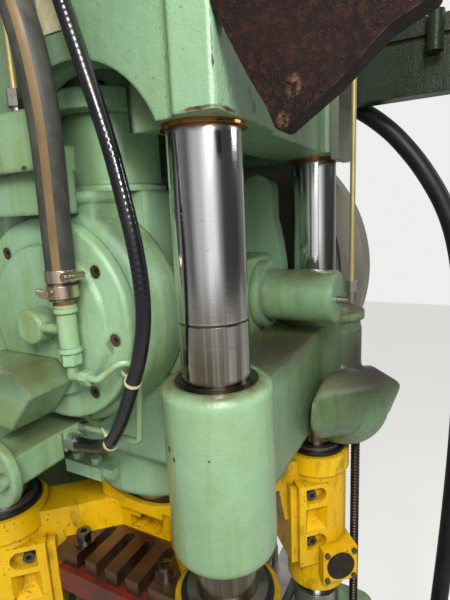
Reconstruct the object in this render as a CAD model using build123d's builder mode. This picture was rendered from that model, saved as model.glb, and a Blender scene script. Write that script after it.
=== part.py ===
from build123d import *
import math
import os

# High-speed stamping press: a rear-column frame with an overhanging head, a crown above it, and a ram
# that hangs on four round guide columns. Millimetres, +Z up, origin on the floor below the slide centre,
# -Y is the operator's front and +X the flywheel side.

os.makedirs("parts", exist_ok=True)

# Driving dimensions: guide columns and stroke
column_x = 200.0
column_y = 220.0
column_d = 80.0
column_bottom = 600.0
column_top = 1880.0
stroke = 20.0
running_fit = 0.04
free_gap = 0.4

# Driving dimensions: base, bed and bolster
base_width = 800.0
base_depth = 1080.0
foot_height = 40.0
foot_d = 90.0
foot_inset = 90.0
plinth_top = 240.0
tray_rim = 18.0
tray_depth = 22.0
bed_half_x = 300.0
bed_front = -330.0
bed_rear = 540.0
bed_top = 700.0
bed_window_half_x = 150.0
bed_window_half_y = 100.0
bed_window_low = 330.0
bed_window_high = 600.0
bolster_half_x = 290.0
bolster_half_y = 160.0
bolster_thickness = 62.0
slot_width = 18.0
slot_depth = 26.0
slot_head = 30.0
slot_head_depth = 12.0
slot_pitch = 100.0
anchor_inset = 50.0
anchor_hole_r = 13.0

# Driving dimensions: upright, head and crown
upright_half_x = 235.0
upright_front = 330.0
head_half_x = 150.0
head_front = -165.0
head_low = 1245.0
head_top = 1635.0
head_step_y = -100.0
head_step_z = 1526.0
boss_d = 130.0
boss_low = 1196.0
boss_top = 1415.0
boss_edge = 12.0
hub_d = 280.0
hub_low = 1165.0
bush_wall = 9.0
crown_half_x = 252.0
crown_front = -258.0
crown_rear = 330.0
crown_low = 1690.0
crown_top = 2060.0
pilaster_half = 85.0
pilaster_front = -272.0
left_pilaster_x = -262.0
left_pilaster_front = -268.0
left_pilaster_back = -221.0
pilaster_back = -238.0
crown_bore_wall = 4.0
shaft_z = 1475.0

# Driving dimensions: ram, tool plate and tool set
sleeve_d = 124.0
sleeve_low = 818.0
sleeve_top = 1125.0
collar_d = 136.0
collar_low = 1085.0
arm_half = 36.0
arm_low = 890.0
arm_top = 1112.0
plate_half_x = 188.0
plate_half_y = 120.0
plate_top = 1054.0
plate_thickness = 26.0
shoe_thickness = 42.0
lower_shoe_thickness = 38.0
tool_half_x = 198.0
tool_half_y = 112.0
guide_post_d = 26.0
guide_post_x = 165.0
guide_post_y = 82.0

# Driving dimensions: drive
flywheel_d = 600.0
flywheel_near = 274.0
flywheel_width = 66.0
pulley_d = 380.0
pulley_near = 345.0
pulley_width = 50.0
shaft_d = 90.0
motor_y = 440.0
motor_z = 1846.0
motor_d = 188.0
motor_pulley_d = 140.0
belt_count = 3
groove_depth = 7.0

# Driving dimensions: housings round the shaft and fittings
drum_d = 292.0
drum_near = -222.0
cover_d = 264.0
cover_out = 18.0
dome_d = 200.0
dome_out = 6.0
union_d = 44.0
union_out = 27.0
pin_x = 70.0
pin_z = 1462.0
pin_d = 86.0
pin_front = -296.0
pin_back = -140.0
balance_x = -121.0
balance_y = -26.0
balance_d = 130.0
balance_cap_d = 184.0
cap_thickness = 24.0
balance_height = 96.0

# Values that follow
column_r = column_d / 2
anchor_x = base_width / 2 - anchor_inset
anchor_y = base_depth / 2 - anchor_inset
bolster_top = bed_top + bolster_thickness
plate_low = plate_top - plate_thickness
shoe_low = plate_low - shoe_thickness
lower_shoe_top = bolster_top + lower_shoe_thickness
bush_r = column_r + bush_wall
crown_bore_r = column_r + crown_bore_wall
corners = [(sx * column_x, sy * column_y) for sx in (-1, 1) for sy in (-1, 1)]
corner_names = ["front_left", "rear_left", "front_right", "rear_right"]

# Levelling feet, one below each corner of the plinth
foot_pad = 16.0
foot_stud_d = 30.0
foot_x = base_width / 2 - foot_inset
foot_y = base_depth / 2 - foot_inset
with BuildPart() as feet:
    with BuildSketch(Plane.XY):
        with GridLocations(2 * foot_x, 2 * foot_y, 2, 2):
            Circle(foot_d / 2)
    extrude(amount=foot_pad)
    chamfer(feet.edges().group_by(Axis.Z)[-1], 3)
    with BuildSketch(Plane.XY.offset(foot_pad)):
        with GridLocations(2 * foot_x, 2 * foot_y, 2, 2):
            Circle(foot_stud_d / 2)
    extrude(amount=foot_height - foot_pad)
feet.part.label = "levelling_feet"
export_step(feet.part, "parts/levelling_feet.step")

# Base: a wide plinth with an oil tray round the bed, the bed box and its slug window
plinth_corner = 40.0
bed_corner = 30.0
with BuildPart() as base:
    with BuildSketch(Plane.XY.offset(foot_height)):
        RectangleRounded(base_width, base_depth, plinth_corner)
    extrude(amount=plinth_top - foot_height)
    with BuildSketch(Plane.XY.offset(plinth_top)):
        RectangleRounded(base_width - 2 * tray_rim, base_depth - 2 * tray_rim, plinth_corner - tray_rim)
    extrude(amount=-tray_depth, mode=Mode.SUBTRACT)
    with BuildSketch(Plane.XY.offset(plinth_top - tray_depth)):
        with Locations((0, (bed_front + bed_rear - tray_rim) / 2)):
            RectangleRounded(2 * bed_half_x, bed_rear - tray_rim - bed_front, bed_corner)
    extrude(amount=bed_top - plinth_top + tray_depth)
    with BuildSketch(Plane.XZ.offset(-bed_front)):
        with Locations((0, (bed_window_low + bed_window_high) / 2)):
            RectangleRounded(2 * bed_window_half_x, bed_window_high - bed_window_low, bed_corner)
    extrude(amount=-(bed_window_half_y - bed_front), mode=Mode.SUBTRACT)
    with BuildSketch(Plane.XY.offset(bed_top)):
        RectangleRounded(bed_window_half_x, bed_window_half_y, bed_corner / 2)
    extrude(amount=-(bed_top - bed_window_low), mode=Mode.SUBTRACT)
    with BuildSketch(Plane.XY.offset(bed_top)):
        with Locations(*corners):
            Circle(bush_r)
    extrude(amount=-(bed_top - column_bottom + stroke * 2), mode=Mode.SUBTRACT)
    with BuildSketch(Plane.XY.offset(plinth_top - tray_depth)):
        with GridLocations(2 * anchor_x, 2 * anchor_y, 2, 2):
            Circle(anchor_hole_r)
    extrude(amount=-plinth_top, mode=Mode.SUBTRACT)
base.part.label = "base"
export_step(base.part, "parts/base.step")

# Bolster plate with two T-slots along X
with BuildPart() as bolster:
    with BuildSketch(Plane.XY.offset(bed_top)):
        RectangleRounded(2 * bolster_half_x, 2 * bolster_half_y, 8)
    extrude(amount=bolster_thickness)
    with BuildSketch(Plane.YZ.offset(-bolster_half_x)):
        for place in (-slot_pitch, slot_pitch):
            with Locations((place, bolster_top - slot_depth / 2)):
                Rectangle(slot_width, slot_depth)
            with Locations((place, bolster_top - slot_depth - slot_head_depth / 2)):
                Rectangle(slot_head, slot_head_depth)
    extrude(amount=2 * bolster_half_x, mode=Mode.SUBTRACT)
    with BuildSketch(Plane.XY.offset(bolster_top)):
        RectangleRounded(bed_window_half_x, bed_window_half_y, bed_corner / 2)
    extrude(amount=-bolster_thickness, mode=Mode.SUBTRACT)
bolster.part.label = "bolster_plate"
export_step(bolster.part, "parts/bolster_plate.step")

# Lower guide sleeves: dark steel tubes that stand on the bed round each column
lower_guide_top = 790.0
lower_flange = 12.0
lower_flange_r = 58.0
with BuildPart() as lower_guides:
    with BuildSketch(Plane.XY.offset(bed_top - 60)):
        with Locations(*corners):
            Circle(bush_r - running_fit)
    extrude(amount=lower_guide_top - bed_top + 60)
    with BuildSketch(Plane.XY.offset(bed_top)):
        with Locations(*corners):
            Circle(lower_flange_r)
    extrude(amount=lower_flange)
    with BuildSketch(Plane.XY.offset(lower_guide_top)):
        with Locations(*corners):
            Circle(column_r + running_fit)
    extrude(amount=-(lower_guide_top - bed_top + 60), mode=Mode.SUBTRACT)
lower_guides.part.label = "lower_guides"
export_step(lower_guides.part, "parts/lower_guides.step")

# Head casting with the rear upright: four long guide bosses, a round hub for the plunger, ribs and a lobe
upright_corner = 32.0
head_corner = 45.0
web_width = 70.0
web_low = 1222.0
web_top = 1388.0
web_blend = 30.0
front_wall = 62.0
plunger_r = 62.0
plunger_bore_top = 1330.0
shaft_bore_r = 62.0
ear_x = 222.0
ear_y = -270.0
ear_r = 90.0
ear_foot_r = 56.0
ear_low = 1150.0
ear_rim = 1212.0
ear_peak = 1284.0
horn_x = 214.0
horn_y = -262.0
horn_r = 43.0
horn_top = 1408.0
lip_r = 50.0
lip_height = 14.0
relief = 5.0
shelf_left = -217.0
shelf_front = -72.0
shelf_back = 98.0
shelf_thickness = head_top - shaft_z - drum_d / 2 - free_gap

with BuildPart() as boss_blanks:
    with BuildSketch(Plane.XY.offset(boss_low)):
        with Locations(*corners):
            Circle(boss_d / 2)
    extrude(amount=boss_top - boss_low)
    fillet(boss_blanks.edges().filter_by(GeomType.CIRCLE), boss_edge)

ear_plane = Plane(origin=(ear_x, ear_y, 0), x_dir=(1, 0, 0), z_dir=(0, -1, 0))
with BuildPart() as ear_blank:
    with BuildSketch(ear_plane):
        with BuildLine():
            Polyline((ear_foot_r, ear_low), (0, ear_low), (0, ear_peak), (horn_r, ear_peak))
            TangentArc((ear_r, ear_rim), (horn_r, ear_peak), tangent=(0, 1))
            RadiusArc((ear_r, ear_rim), (ear_foot_r, ear_low), ear_r)
        make_face()
    revolve(axis=Axis((ear_x, ear_y, 0), (0, 0, 1)))

with BuildPart() as head:
    with BuildSketch(Plane.XY.offset(bed_top)):
        with Locations((0, (upright_front + bed_rear) / 2)):
            RectangleRounded(2 * upright_half_x, bed_rear - upright_front, upright_corner)
    extrude(amount=crown_low - bed_top)
    with BuildSketch(Plane.XY.offset(head_low)):
        with Locations((0, (head_front + upright_front + upright_corner) / 2)):
            RectangleRounded(2 * head_half_x, upright_front + upright_corner - head_front, head_corner)
    extrude(amount=head_top - head_low)
    with BuildSketch(Plane.XY.offset(head_step_z)):
        with Locations((0, (head_front + head_step_y) / 2)):
            Rectangle(2 * head_half_x, head_step_y - head_front)
    extrude(amount=head_top - head_step_z, mode=Mode.SUBTRACT)
    with BuildSketch(Plane.XY.offset(hub_low)):
        Circle(hub_d / 2)
    extrude(amount=head_low - hub_low + web_width)
    with BuildSketch(Plane.XY.offset(web_low)):
        with Locations(*corners):
            Circle(boss_d / 2 - 1)
        for cx, cy in corners:
            reach = math.hypot(cx, cy)
            with Locations((cx / 2, cy / 2)):
                Rectangle(reach, web_width, rotation=math.degrees(math.atan2(cy, cx)))
        with Locations((0, -column_y)):
            Rectangle(2 * column_x, front_wall)
        Circle(hub_d / 2)
        offset(amount=web_blend)
        offset(amount=-web_blend)
    extrude(amount=web_top - web_low)
    with BuildSketch(Plane.XY.offset(head_top - shelf_thickness)):
        with Locations((shelf_left / 2, (shelf_front + shelf_back) / 2)):
            RectangleRounded(-shelf_left, shelf_back - shelf_front, head_corner / 2)
    extrude(amount=shelf_thickness)
    with BuildSketch(Plane.XY.offset(ear_rim)):
        with Locations((horn_x, horn_y)):
            Circle(horn_r)
    extrude(amount=horn_top - lip_height - ear_rim)
    with BuildSketch(Plane.XY.offset(horn_top - lip_height)):
        with Locations((horn_x, horn_y)):
            Circle(lip_r)
    extrude(amount=lip_height)
    fillet(head.edges().filter_by(GeomType.CIRCLE).group_by(Axis.Z)[-1], 4)
    add(ear_blank.part)
    add(boss_blanks.part)
    with BuildSketch(Plane.XY.offset(ear_low)):
        with Locations(*corners):
            Circle(bush_r)
    extrude(amount=head_top, mode=Mode.SUBTRACT)
    with BuildSketch(Plane.YZ.offset(-head_half_x)):
        with Locations((0, shaft_z)):
            Circle(drum_d / 2 + free_gap)
    extrude(amount=shelf_left, mode=Mode.SUBTRACT)
    with BuildSketch(Plane.XY.offset(hub_low)):
        Circle(plunger_r + running_fit)
    extrude(amount=plunger_bore_top - hub_low, mode=Mode.SUBTRACT)
    with BuildSketch(Plane.YZ.offset(-base_width)):
        with Locations((0, shaft_z)):
            Circle(shaft_bore_r)
    extrude(amount=2 * base_width, mode=Mode.SUBTRACT)
    with BuildSketch(Plane.YZ.offset(flywheel_near - relief)):
        with Locations((0, shaft_z)):
            Circle(flywheel_d / 2 + relief)
    extrude(amount=base_width, mode=Mode.SUBTRACT)
head.part.label = "frame_head"
export_step(head.part, "parts/frame_head.step")

# Guide bushes in the four bosses, with a wiper ring on top of each boss
wiper_height = 3.0
wiper_r = column_r + 4
with BuildPart() as bushes:
    with BuildSketch(Plane.XY.offset(boss_low)):
        with Locations(*corners):
            Circle(bush_r - running_fit)
            Circle(column_r + running_fit, mode=Mode.SUBTRACT)
    extrude(amount=boss_top - boss_low)
    with BuildSketch(Plane.XY.offset(boss_top)):
        with Locations(*corners):
            Circle(wiper_r)
            Circle(column_r + running_fit, mode=Mode.SUBTRACT)
    extrude(amount=wiper_height)
bushes.part.label = "guide_bushes"
export_step(bushes.part, "parts/guide_bushes.step")

# Crown casting: side walls with an arch over the counterbalance cylinder, front pilasters over the columns
crown_corner = 24.0
crown_blend = 12.0
arch_y = -88.0
arch_z = 1644.0
arch_r = 119.0
pocket_half_x = 216.0
pocket_half_y = 160.0
pocket_top = 1786.0
saddle_thickness = 44.0
saddle_rear = bed_rear - 10
crown_bore_depth = 250.0
with BuildPart() as crown:
    with BuildSketch(Plane.XY.offset(crown_low)):
        with Locations((0, (crown_front + crown_rear) / 2)):
            Rectangle(2 * crown_half_x, crown_rear - crown_front)
        with Locations((column_x, (pilaster_front + pilaster_back) / 2)):
            Rectangle(2 * pilaster_half, pilaster_back - pilaster_front)
        with Locations((left_pilaster_x, left_pilaster_front)):
            Rectangle(pilaster_half - column_x - left_pilaster_x, left_pilaster_back - left_pilaster_front,
                      align=(Align.MIN, Align.MIN))
        offset(amount=-crown_blend / 2)
        offset(amount=crown_blend / 2)
        offset(amount=crown_blend)
        offset(amount=-crown_blend)
    extrude(amount=crown_top - crown_low)
    chamfer(crown.edges().group_by(Axis.Z)[-1], crown_blend / 2)
    with BuildSketch(Plane.XY.offset(crown_low)):
        with Locations((0, (crown_rear + saddle_rear) / 2)):
            Rectangle(2 * upright_half_x, saddle_rear - crown_rear + 2)
    extrude(amount=saddle_thickness)
    with BuildSketch(Plane.XY.offset(crown_low)):
        RectangleRounded(2 * pocket_half_x, 2 * pocket_half_y, crown_corner)
    extrude(amount=pocket_top - crown_low, mode=Mode.SUBTRACT)
    with BuildSketch(Plane.YZ.offset(-crown_half_x)):
        with Locations((arch_y, arch_z)):
            Circle(arch_r)
    extrude(amount=crown_half_x - pocket_half_x, mode=Mode.SUBTRACT)
    with BuildSketch(Plane.XY.offset(crown_low)):
        with Locations(*corners):
            Circle(crown_bore_r)
    extrude(amount=crown_bore_depth, mode=Mode.SUBTRACT)
crown.part.label = "crown"
export_step(crown.part, "parts/crown.step")

# Collars at the crown's underside, one round each column, rusted by the oil that runs down
crown_ring_r = 45.5
crown_ring_drop = 4.0
crown_ring_sunk = 40.0
with BuildPart() as crown_rings:
    with BuildSketch(Plane.XY.offset(crown_low - crown_ring_drop)):
        with Locations(*corners):
            Circle(crown_ring_r)
    extrude(amount=crown_ring_drop - free_gap / 10)
    with BuildSketch(Plane.XY.offset(crown_low - crown_ring_drop)):
        with Locations(*corners):
            Circle(crown_bore_r - running_fit)
    extrude(amount=crown_ring_drop + crown_ring_sunk)
    with BuildSketch(Plane.XY.offset(crown_low - crown_ring_drop)):
        with Locations(*corners):
            Circle(column_r + running_fit)
    extrude(amount=crown_ring_drop + crown_ring_sunk, mode=Mode.SUBTRACT)
crown_rings.part.label = "crown_rings"
export_step(crown_rings.part, "parts/crown_rings.step")

# Counterbalance cylinder on the head's shelf, with its round cap and a socket plug
with BuildPart() as balance:
    with BuildSketch(Plane.XY.offset(head_top)):
        with Locations((balance_x, balance_y)):
            Circle(balance_d / 2)
    extrude(amount=balance_height)
    with BuildSketch(Plane.XY.offset(head_top)):
        with Locations((balance_x, balance_y)):
            Circle(balance_d / 2 + 7)
    extrude(amount=9)
    fillet(balance.edges().filter_by(GeomType.CIRCLE).group_by(Axis.Z)[1], 3)
balance.part.label = "balance_cylinder"
export_step(balance.part, "parts/balance_cylinder.step")

cap_low = head_top + balance_height
with BuildPart() as balance_cap:
    with BuildSketch(Plane.XY.offset(cap_low)):
        with Locations((balance_x, balance_y)):
            Circle(balance_cap_d / 2)
    extrude(amount=cap_thickness)
    fillet(balance_cap.edges().group_by(Axis.Z)[-1], 3)
balance_cap.part.label = "balance_cap"
export_step(balance_cap.part, "parts/balance_cap.step")

# Left main bearing housing: a round drum on the head's side, a valve block on top and a chamfered foot below
block_front = -56.0
block_rear = 66.0
block_top = 1720.0
block_near = -272.0
block_far = shelf_left - free_gap / 10
block_low = 1657.0
neck_low = 1609.0
neck_left = -258.0
shoulder_low = 1540.0
block_step = crown_low - 4
block_top_far = -crown_half_x - 1
foot_front = -34.0
foot_back = 88.0
foot_low = 1324.0
foot_nose = -246.0
foot_nose_low = 1364.0
foot_top = 1400.0
foot_step = -205.0
with BuildPart() as drum:
    with BuildSketch(Plane.YZ.offset(-head_half_x)):
        with Locations((0, shaft_z)):
            Circle(drum_d / 2)
    extrude(amount=drum_near + head_half_x)
    fillet(drum.edges().filter_by(GeomType.CIRCLE).group_by(Axis.X)[0], 12)
    with BuildSketch(Plane.XZ.offset(-foot_front)):
        with BuildLine():
            Polyline((-head_half_x, foot_top), (foot_nose, foot_top), (foot_nose, foot_nose_low),
                     (foot_step, foot_low), (-head_half_x, foot_low), (-head_half_x, foot_top))
        make_face()
    extrude(amount=-(foot_back - foot_front))
    chamfer(drum.edges().filter_by(Axis.Z).group_by(Axis.X)[0], 14)
    with BuildSketch(Plane.XY.offset(shoulder_low)):
        with Locations(((shelf_left - head_half_x) / 2, (shelf_front + shelf_back) / 2)):
            Rectangle(-head_half_x - shelf_left, shelf_back - shelf_front)
    extrude(amount=shaft_z + drum_d / 2 - shoulder_low)
    with BuildSketch(Plane.XY.offset(neck_low)):
        with Locations(((neck_left + block_far) / 2, (block_front + block_rear) / 2)):
            RectangleRounded(block_far - neck_left, block_rear - block_front, 14)
    extrude(amount=block_low - neck_low)
    with BuildSketch(Plane.XY.offset(block_low)):
        with Locations(((block_near + block_far) / 2, (block_front + block_rear) / 2)):
            RectangleRounded(block_far - block_near, block_rear - block_front, 6)
    extrude(amount=block_step - block_low)
    with BuildSketch(Plane.XY.offset(block_step)):
        with Locations(((block_near + block_top_far) / 2, (block_front + block_rear) / 2)):
            RectangleRounded(block_top_far - block_near, block_rear - block_front, 6)
    extrude(amount=block_top - block_step)
    with BuildSketch(Plane.YZ.offset(-base_width / 2)):
        with Locations((0, shaft_z)):
            Circle(shaft_bore_r)
    extrude(amount=base_width / 2 - head_half_x, mode=Mode.SUBTRACT)
    with BuildSketch(Plane.YZ.offset(drum_near)):
        with Locations((0, shaft_z)):
            Circle(cover_d / 2 + running_fit)
    extrude(amount=drum_near, mode=Mode.SUBTRACT)
    split(bisect_by=Plane.YZ.offset(-head_half_x - free_gap / 10), keep=Keep.BOTTOM)
drum.part.label = "left_bearing_housing"
export_step(drum.part, "parts/left_bearing_housing.step")

# Stepped end cover of the drum, its sunk screws and the oil union at its centre
screw_circle_r = 109.0
screw_r = 8.0
cover_screw_depth = 7.0
with BuildPart() as cover:
    with BuildSketch(Plane.YZ.offset(drum_near)):
        with Locations((0, shaft_z)):
            Circle(cover_d / 2)
    extrude(amount=-cover_out)
    fillet(cover.edges().filter_by(GeomType.CIRCLE).group_by(Axis.X)[0], 5)
    with BuildSketch(Plane.YZ.offset(drum_near - cover_out)):
        with Locations((0, shaft_z)):
            Circle(dome_d / 2)
    extrude(amount=-dome_out, taper=30)
    with BuildSketch(Plane.YZ.offset(drum_near - cover_out)):
        with Locations((0, shaft_z)):
            with PolarLocations(screw_circle_r, 8, start_angle=8):
                Circle(screw_r)
    extrude(amount=cover_screw_depth, mode=Mode.SUBTRACT)
cover.part.label = "drum_cover"
export_step(cover.part, "parts/drum_cover.step")

union_stub_r = 6.5
union_face = drum_near - cover_out - dome_out
tee_d = 23.0
tee_y = -60.0
tee_collar_d = 28.0
striped_r = 16.5
clamp_wall = 1.6
tee_x = union_face - striped_r - clamp_wall - 1
with BuildPart() as union:
    with BuildSketch(Plane.YZ.offset(union_face)):
        with Locations((0, shaft_z)):
            Circle(union_d / 2)
    extrude(amount=-union_out)
    fillet(union.edges().filter_by(GeomType.CIRCLE).group_by(Axis.X)[0], 3)
    with BuildSketch(Plane.XZ.offset(0)):
        with Locations((tee_x, shaft_z)):
            Circle(union_stub_r)
    extrude(amount=-tee_y - tee_d / 2)
union.part.label = "oil_union"
export_step(union.part, "parts/oil_union.step")

# Block with a sloped nose, seated on the lower half of the cover
nose_left = -312.0
nose_front = -40.0
nose_back = 96.0
nose_edge_z = 1405.0
nose_top = 1429.0
nose_low = 1356.0
nose_slope_y = -12.0
nose_under_y = 3.0
nose_blend = 4.0
with BuildPart() as nose_block:
    with BuildSketch(Plane.YZ.offset(union_face)):
        with BuildLine():
            Polyline((nose_slope_y, nose_top), (nose_front, nose_edge_z), (nose_under_y, nose_low),
                     (nose_back, nose_low), (nose_back, nose_top), (nose_slope_y, nose_top))
        make_face()
    extrude(amount=nose_left - union_face)
    fillet(nose_block.edges().filter_by(Axis.X), nose_blend)
nose_block.part.label = "cover_block"
export_step(nose_block.part, "parts/cover_block.step")

# Painted tee with collars, a nut and an elbow, between the union and the striped hose
tee_top = 1503.0
tee_bottom = 1449.0
nut_across = 22.0
barb_r = 13.0
barb_height = 9.0
tee_nut_height = 15.0
nut_gap = 15.0
elbow_drop = tee_bottom - tee_nut_height - nut_gap
stub_r = 7.0
elbow_reach = 16.0
small_nut = 8.5
small_nut_height = 12.0
with BuildPart() as tee:
    with BuildSketch(Plane.XY.offset(tee_bottom)):
        with Locations((tee_x, tee_y)):
            Circle(tee_d / 2)
    extrude(amount=tee_top - tee_bottom)
    for level in (tee_bottom, tee_top - 6):
        with BuildSketch(Plane.XY.offset(level)):
            with Locations((tee_x, tee_y)):
                Circle(tee_collar_d / 2)
        extrude(amount=6)
    with BuildSketch(Plane.XY.offset(tee_bottom - tee_nut_height)):
        with Locations((tee_x, tee_y)):
            RegularPolygon(nut_across / 2, 6, major_radius=False)
    extrude(amount=tee_nut_height)
    with BuildSketch(Plane.XY.offset(elbow_drop)):
        with Locations((tee_x, tee_y)):
            Circle(stub_r)
    extrude(amount=nut_gap)
    with Locations((tee_x, tee_y, elbow_drop)):
        Sphere(stub_r)
    with BuildSketch(Plane.XY.offset(tee_top)):
        with Locations((tee_x, tee_y)):
            Circle(barb_r)
    extrude(amount=barb_height)
    with BuildSketch(Plane.XZ.offset(-tee_y)):
        with Locations((tee_x, elbow_drop)):
            Circle(stub_r - 1)
    extrude(amount=elbow_reach)
    with BuildSketch(Plane.XZ.offset(-tee_y + elbow_reach)):
        with Locations((tee_x, elbow_drop)):
            RegularPolygon(small_nut, 6, major_radius=False)
    extrude(amount=small_nut_height)
tee.part.label = "tee_fitting"
export_step(tee.part, "parts/tee_fitting.step")

# Right main bearing housing with two lugs that flare into its flange
lug_y = -125.0
lug_top = 1668.0
lug_r = 31.0
lug_foot_y = -172.0
housing_low = 1424.0
housing_thickness = 34.0
housing_r = 120.0
housing_reach = 105.0
housing_top = shaft_z + 185
lug_root = lug_top - 28
lug_waist = shaft_z + 115
flare_z = shaft_z + 73
flare_low = shaft_z + 25
flare_step = 9.0
with BuildPart() as housing:
    with BuildSketch(Plane.YZ.offset(head_half_x)):
        for side in (1, -1):
            with BuildLine():
                Line((0, housing_top), (side * (lug_y + lug_r), lug_root))
                Line((side * (lug_y + lug_r), lug_root), (side * (lug_y + lug_r), lug_top - lug_r))
                ThreePointArc((side * (lug_y + lug_r), lug_top - lug_r), (side * lug_y, lug_top),
                              (side * (lug_y - lug_r), lug_top - lug_r))
                Line((side * (lug_y - lug_r), lug_top - lug_r), (side * (lug_y - lug_r), lug_waist))
                ThreePointArc((side * (lug_y - lug_r), lug_waist),
                              (side * (lug_y - lug_r - flare_step), flare_z),
                              (side * lug_foot_y, flare_low))
                Line((side * lug_foot_y, flare_low), (side * lug_foot_y, housing_low))
                Line((side * lug_foot_y, housing_low), (0, housing_low))
                Line((0, housing_low), (0, housing_top))
            make_face()
        with Locations((0, shaft_z)):
            Circle(housing_r)
    extrude(amount=housing_thickness)
    with BuildSketch(Plane.YZ.offset(head_half_x + housing_thickness)):
        with Locations((0, shaft_z)):
            Circle(housing_r)
    extrude(amount=housing_reach - housing_thickness, taper=8)
    with BuildSketch(Plane.YZ.offset(head_half_x)):
        with Locations((0, shaft_z)):
            Circle(shaft_bore_r)
    extrude(amount=housing_reach, mode=Mode.SUBTRACT)
    split(bisect_by=Plane.YZ.offset(head_half_x + free_gap / 10), keep=Keep.TOP)
housing.part.label = "right_bearing_housing"
export_step(housing.part, "parts/right_bearing_housing.step")

# Socket screws: on the balance cylinder's cap, sunk in the drum cover and on the lugs
socket_r = 3.6
screw_head = 6.0
cap_screw_inset = 13.0
with BuildPart() as socket_screws:
    with BuildSketch(Plane.XY.offset(cap_low + cap_thickness)):
        with Locations((balance_x, balance_y)):
            with PolarLocations(balance_cap_d / 2 - cap_screw_inset, 6, start_angle=35):
                Circle(screw_r)
                RegularPolygon(socket_r, 6, mode=Mode.SUBTRACT)
    extrude(amount=screw_head)
    with BuildSketch(Plane.YZ.offset(drum_near - cover_out + cover_screw_depth)):
        with Locations((0, shaft_z)):
            with PolarLocations(screw_circle_r, 8, start_angle=8):
                Circle(screw_r - free_gap / 2)
                RegularPolygon(socket_r, 6, mode=Mode.SUBTRACT)
    extrude(amount=-screw_head)
    with BuildSketch(Plane.YZ.offset(head_half_x + housing_thickness)):
        with Locations((lug_y, lug_top - lug_r + screw_r), (-lug_y, lug_top - lug_r + screw_r)):
            Circle(screw_r)
            RegularPolygon(socket_r, 6, mode=Mode.SUBTRACT)
    extrude(amount=screw_head)
socket_screws.part.label = "socket_screws"
export_step(socket_screws.part, "parts/socket_screws.step")

# Eccentric shaft in two bronze bearings, with the flywheel and its belt pulley
bearing_length = 60.0
left_bearing_x = drum_near + 6
right_bearing_x = head_half_x + housing_reach - bearing_length
with BuildPart() as bearings:
    for start in (left_bearing_x, right_bearing_x):
        with BuildSketch(Plane.YZ.offset(start)):
            with Locations((0, shaft_z)):
                Circle(shaft_bore_r - running_fit)
                Circle(shaft_d / 2 + running_fit, mode=Mode.SUBTRACT)
        extrude(amount=bearing_length)
bearings.part.label = "main_bearings"
export_step(bearings.part, "parts/main_bearings.step")

shaft_left = drum_near + 4
shaft_right = pulley_near + pulley_width
throw_r = 54.0
throw_width = 90.0
throw_shift = 4.0
with BuildPart() as shaft:
    with BuildSketch(Plane.YZ.offset(shaft_left)):
        with Locations((0, shaft_z)):
            Circle(shaft_d / 2)
    extrude(amount=shaft_right - shaft_left)
    with BuildSketch(Plane.YZ.offset(-throw_width / 2)):
        with Locations((0, shaft_z + throw_shift)):
            Circle(throw_r)
    extrude(amount=throw_width)
shaft.part.label = "eccentric_shaft"
export_step(shaft.part, "parts/eccentric_shaft.step")

rim_wall = 46.0
hub_r = 95.0
web_thickness = 26.0
with BuildPart() as flywheel:
    with BuildSketch(Plane.YZ.offset(flywheel_near)):
        with Locations((0, shaft_z)):
            Circle(flywheel_d / 2)
    extrude(amount=flywheel_width)
    for face, sign in ((flywheel_near, 1), (flywheel_near + flywheel_width, -1)):
        with BuildSketch(Plane.YZ.offset(face)):
            with Locations((0, shaft_z)):
                Circle(flywheel_d / 2 - rim_wall)
                Circle(hub_r, mode=Mode.SUBTRACT)
        extrude(amount=sign * (flywheel_width - web_thickness) / 2, mode=Mode.SUBTRACT)
    with BuildSketch(Plane.YZ.offset(flywheel_near)):
        with Locations((0, shaft_z)):
            Circle(shaft_d / 2 + running_fit)
    extrude(amount=flywheel_width, mode=Mode.SUBTRACT)
flywheel.part.label = "flywheel"
export_step(flywheel.part, "parts/flywheel.step")


def grooved_profile(outer_r, bore_r, near, width, grooves):
    """Half section of a V-belt pulley, in the plane of its axis: x along the axis, y the radius."""
    pitch = width / grooves
    points = [(near, bore_r), (near, outer_r)]
    for index in range(grooves):
        left = near + index * pitch
        points += [(left + pitch * 0.12, outer_r), (left + pitch * 0.3, outer_r - groove_depth)]
        points += [(left + pitch * 0.7, outer_r - groove_depth), (left + pitch * 0.88, outer_r)]
    points += [(near + width, outer_r), (near + width, bore_r), (near, bore_r)]
    return points


drive_plane = Plane(origin=(0, 0, shaft_z), x_dir=(1, 0, 0), z_dir=(0, -1, 0))
with BuildPart() as pulley:
    with BuildSketch(drive_plane):
        with BuildLine():
            Polyline(grooved_profile(pulley_d / 2, shaft_d / 2 + running_fit, pulley_near, pulley_width,
                                     belt_count))
        make_face()
    revolve(axis=Axis((0, 0, shaft_z), (1, 0, 0)))
pulley.part.label = "drive_pulley"
export_step(pulley.part, "parts/drive_pulley.step")

# Motor on the crown's rear saddle, its rotor shaft with the small pulley, and the belts
saddle_top = crown_low + saddle_thickness
motor_near = -70.0
bell_r = motor_d / 2 - 4.0
front_bell_r = motor_d / 2 - 20.0
front_bell_round = 14.0
rear_bell_face_r = motor_d / 2 - 34.0
rear_bell_r = motor_d / 2 - 10.0
rear_bell_round = 20.0
fin_width = 3.4
foot_inset = 110.0
foot_length = 46.0
foot_rib_pitch = 112.0
foot_rib_length = 38.0
foot_rib_width = 18.0
foot_rib_height = 50.0
terminal_x = 120.0
terminal_length = 100.0
terminal_width = 90.0
terminal_round = 8.0
terminal_height = 52.0
terminal_sink = 6.0
rotor_gap = 4.0
motor_far = 285.0
motor_foot_half = 84.0
motor_foot_height = 16.0
motor_shaft_d = 38.0
fin_count = 36
fin_height = 7.0
bell_length = 42.0
motor_plane = Plane(origin=(0, motor_y, motor_z), x_dir=(1, 0, 0), z_dir=(0, -1, 0))
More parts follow.
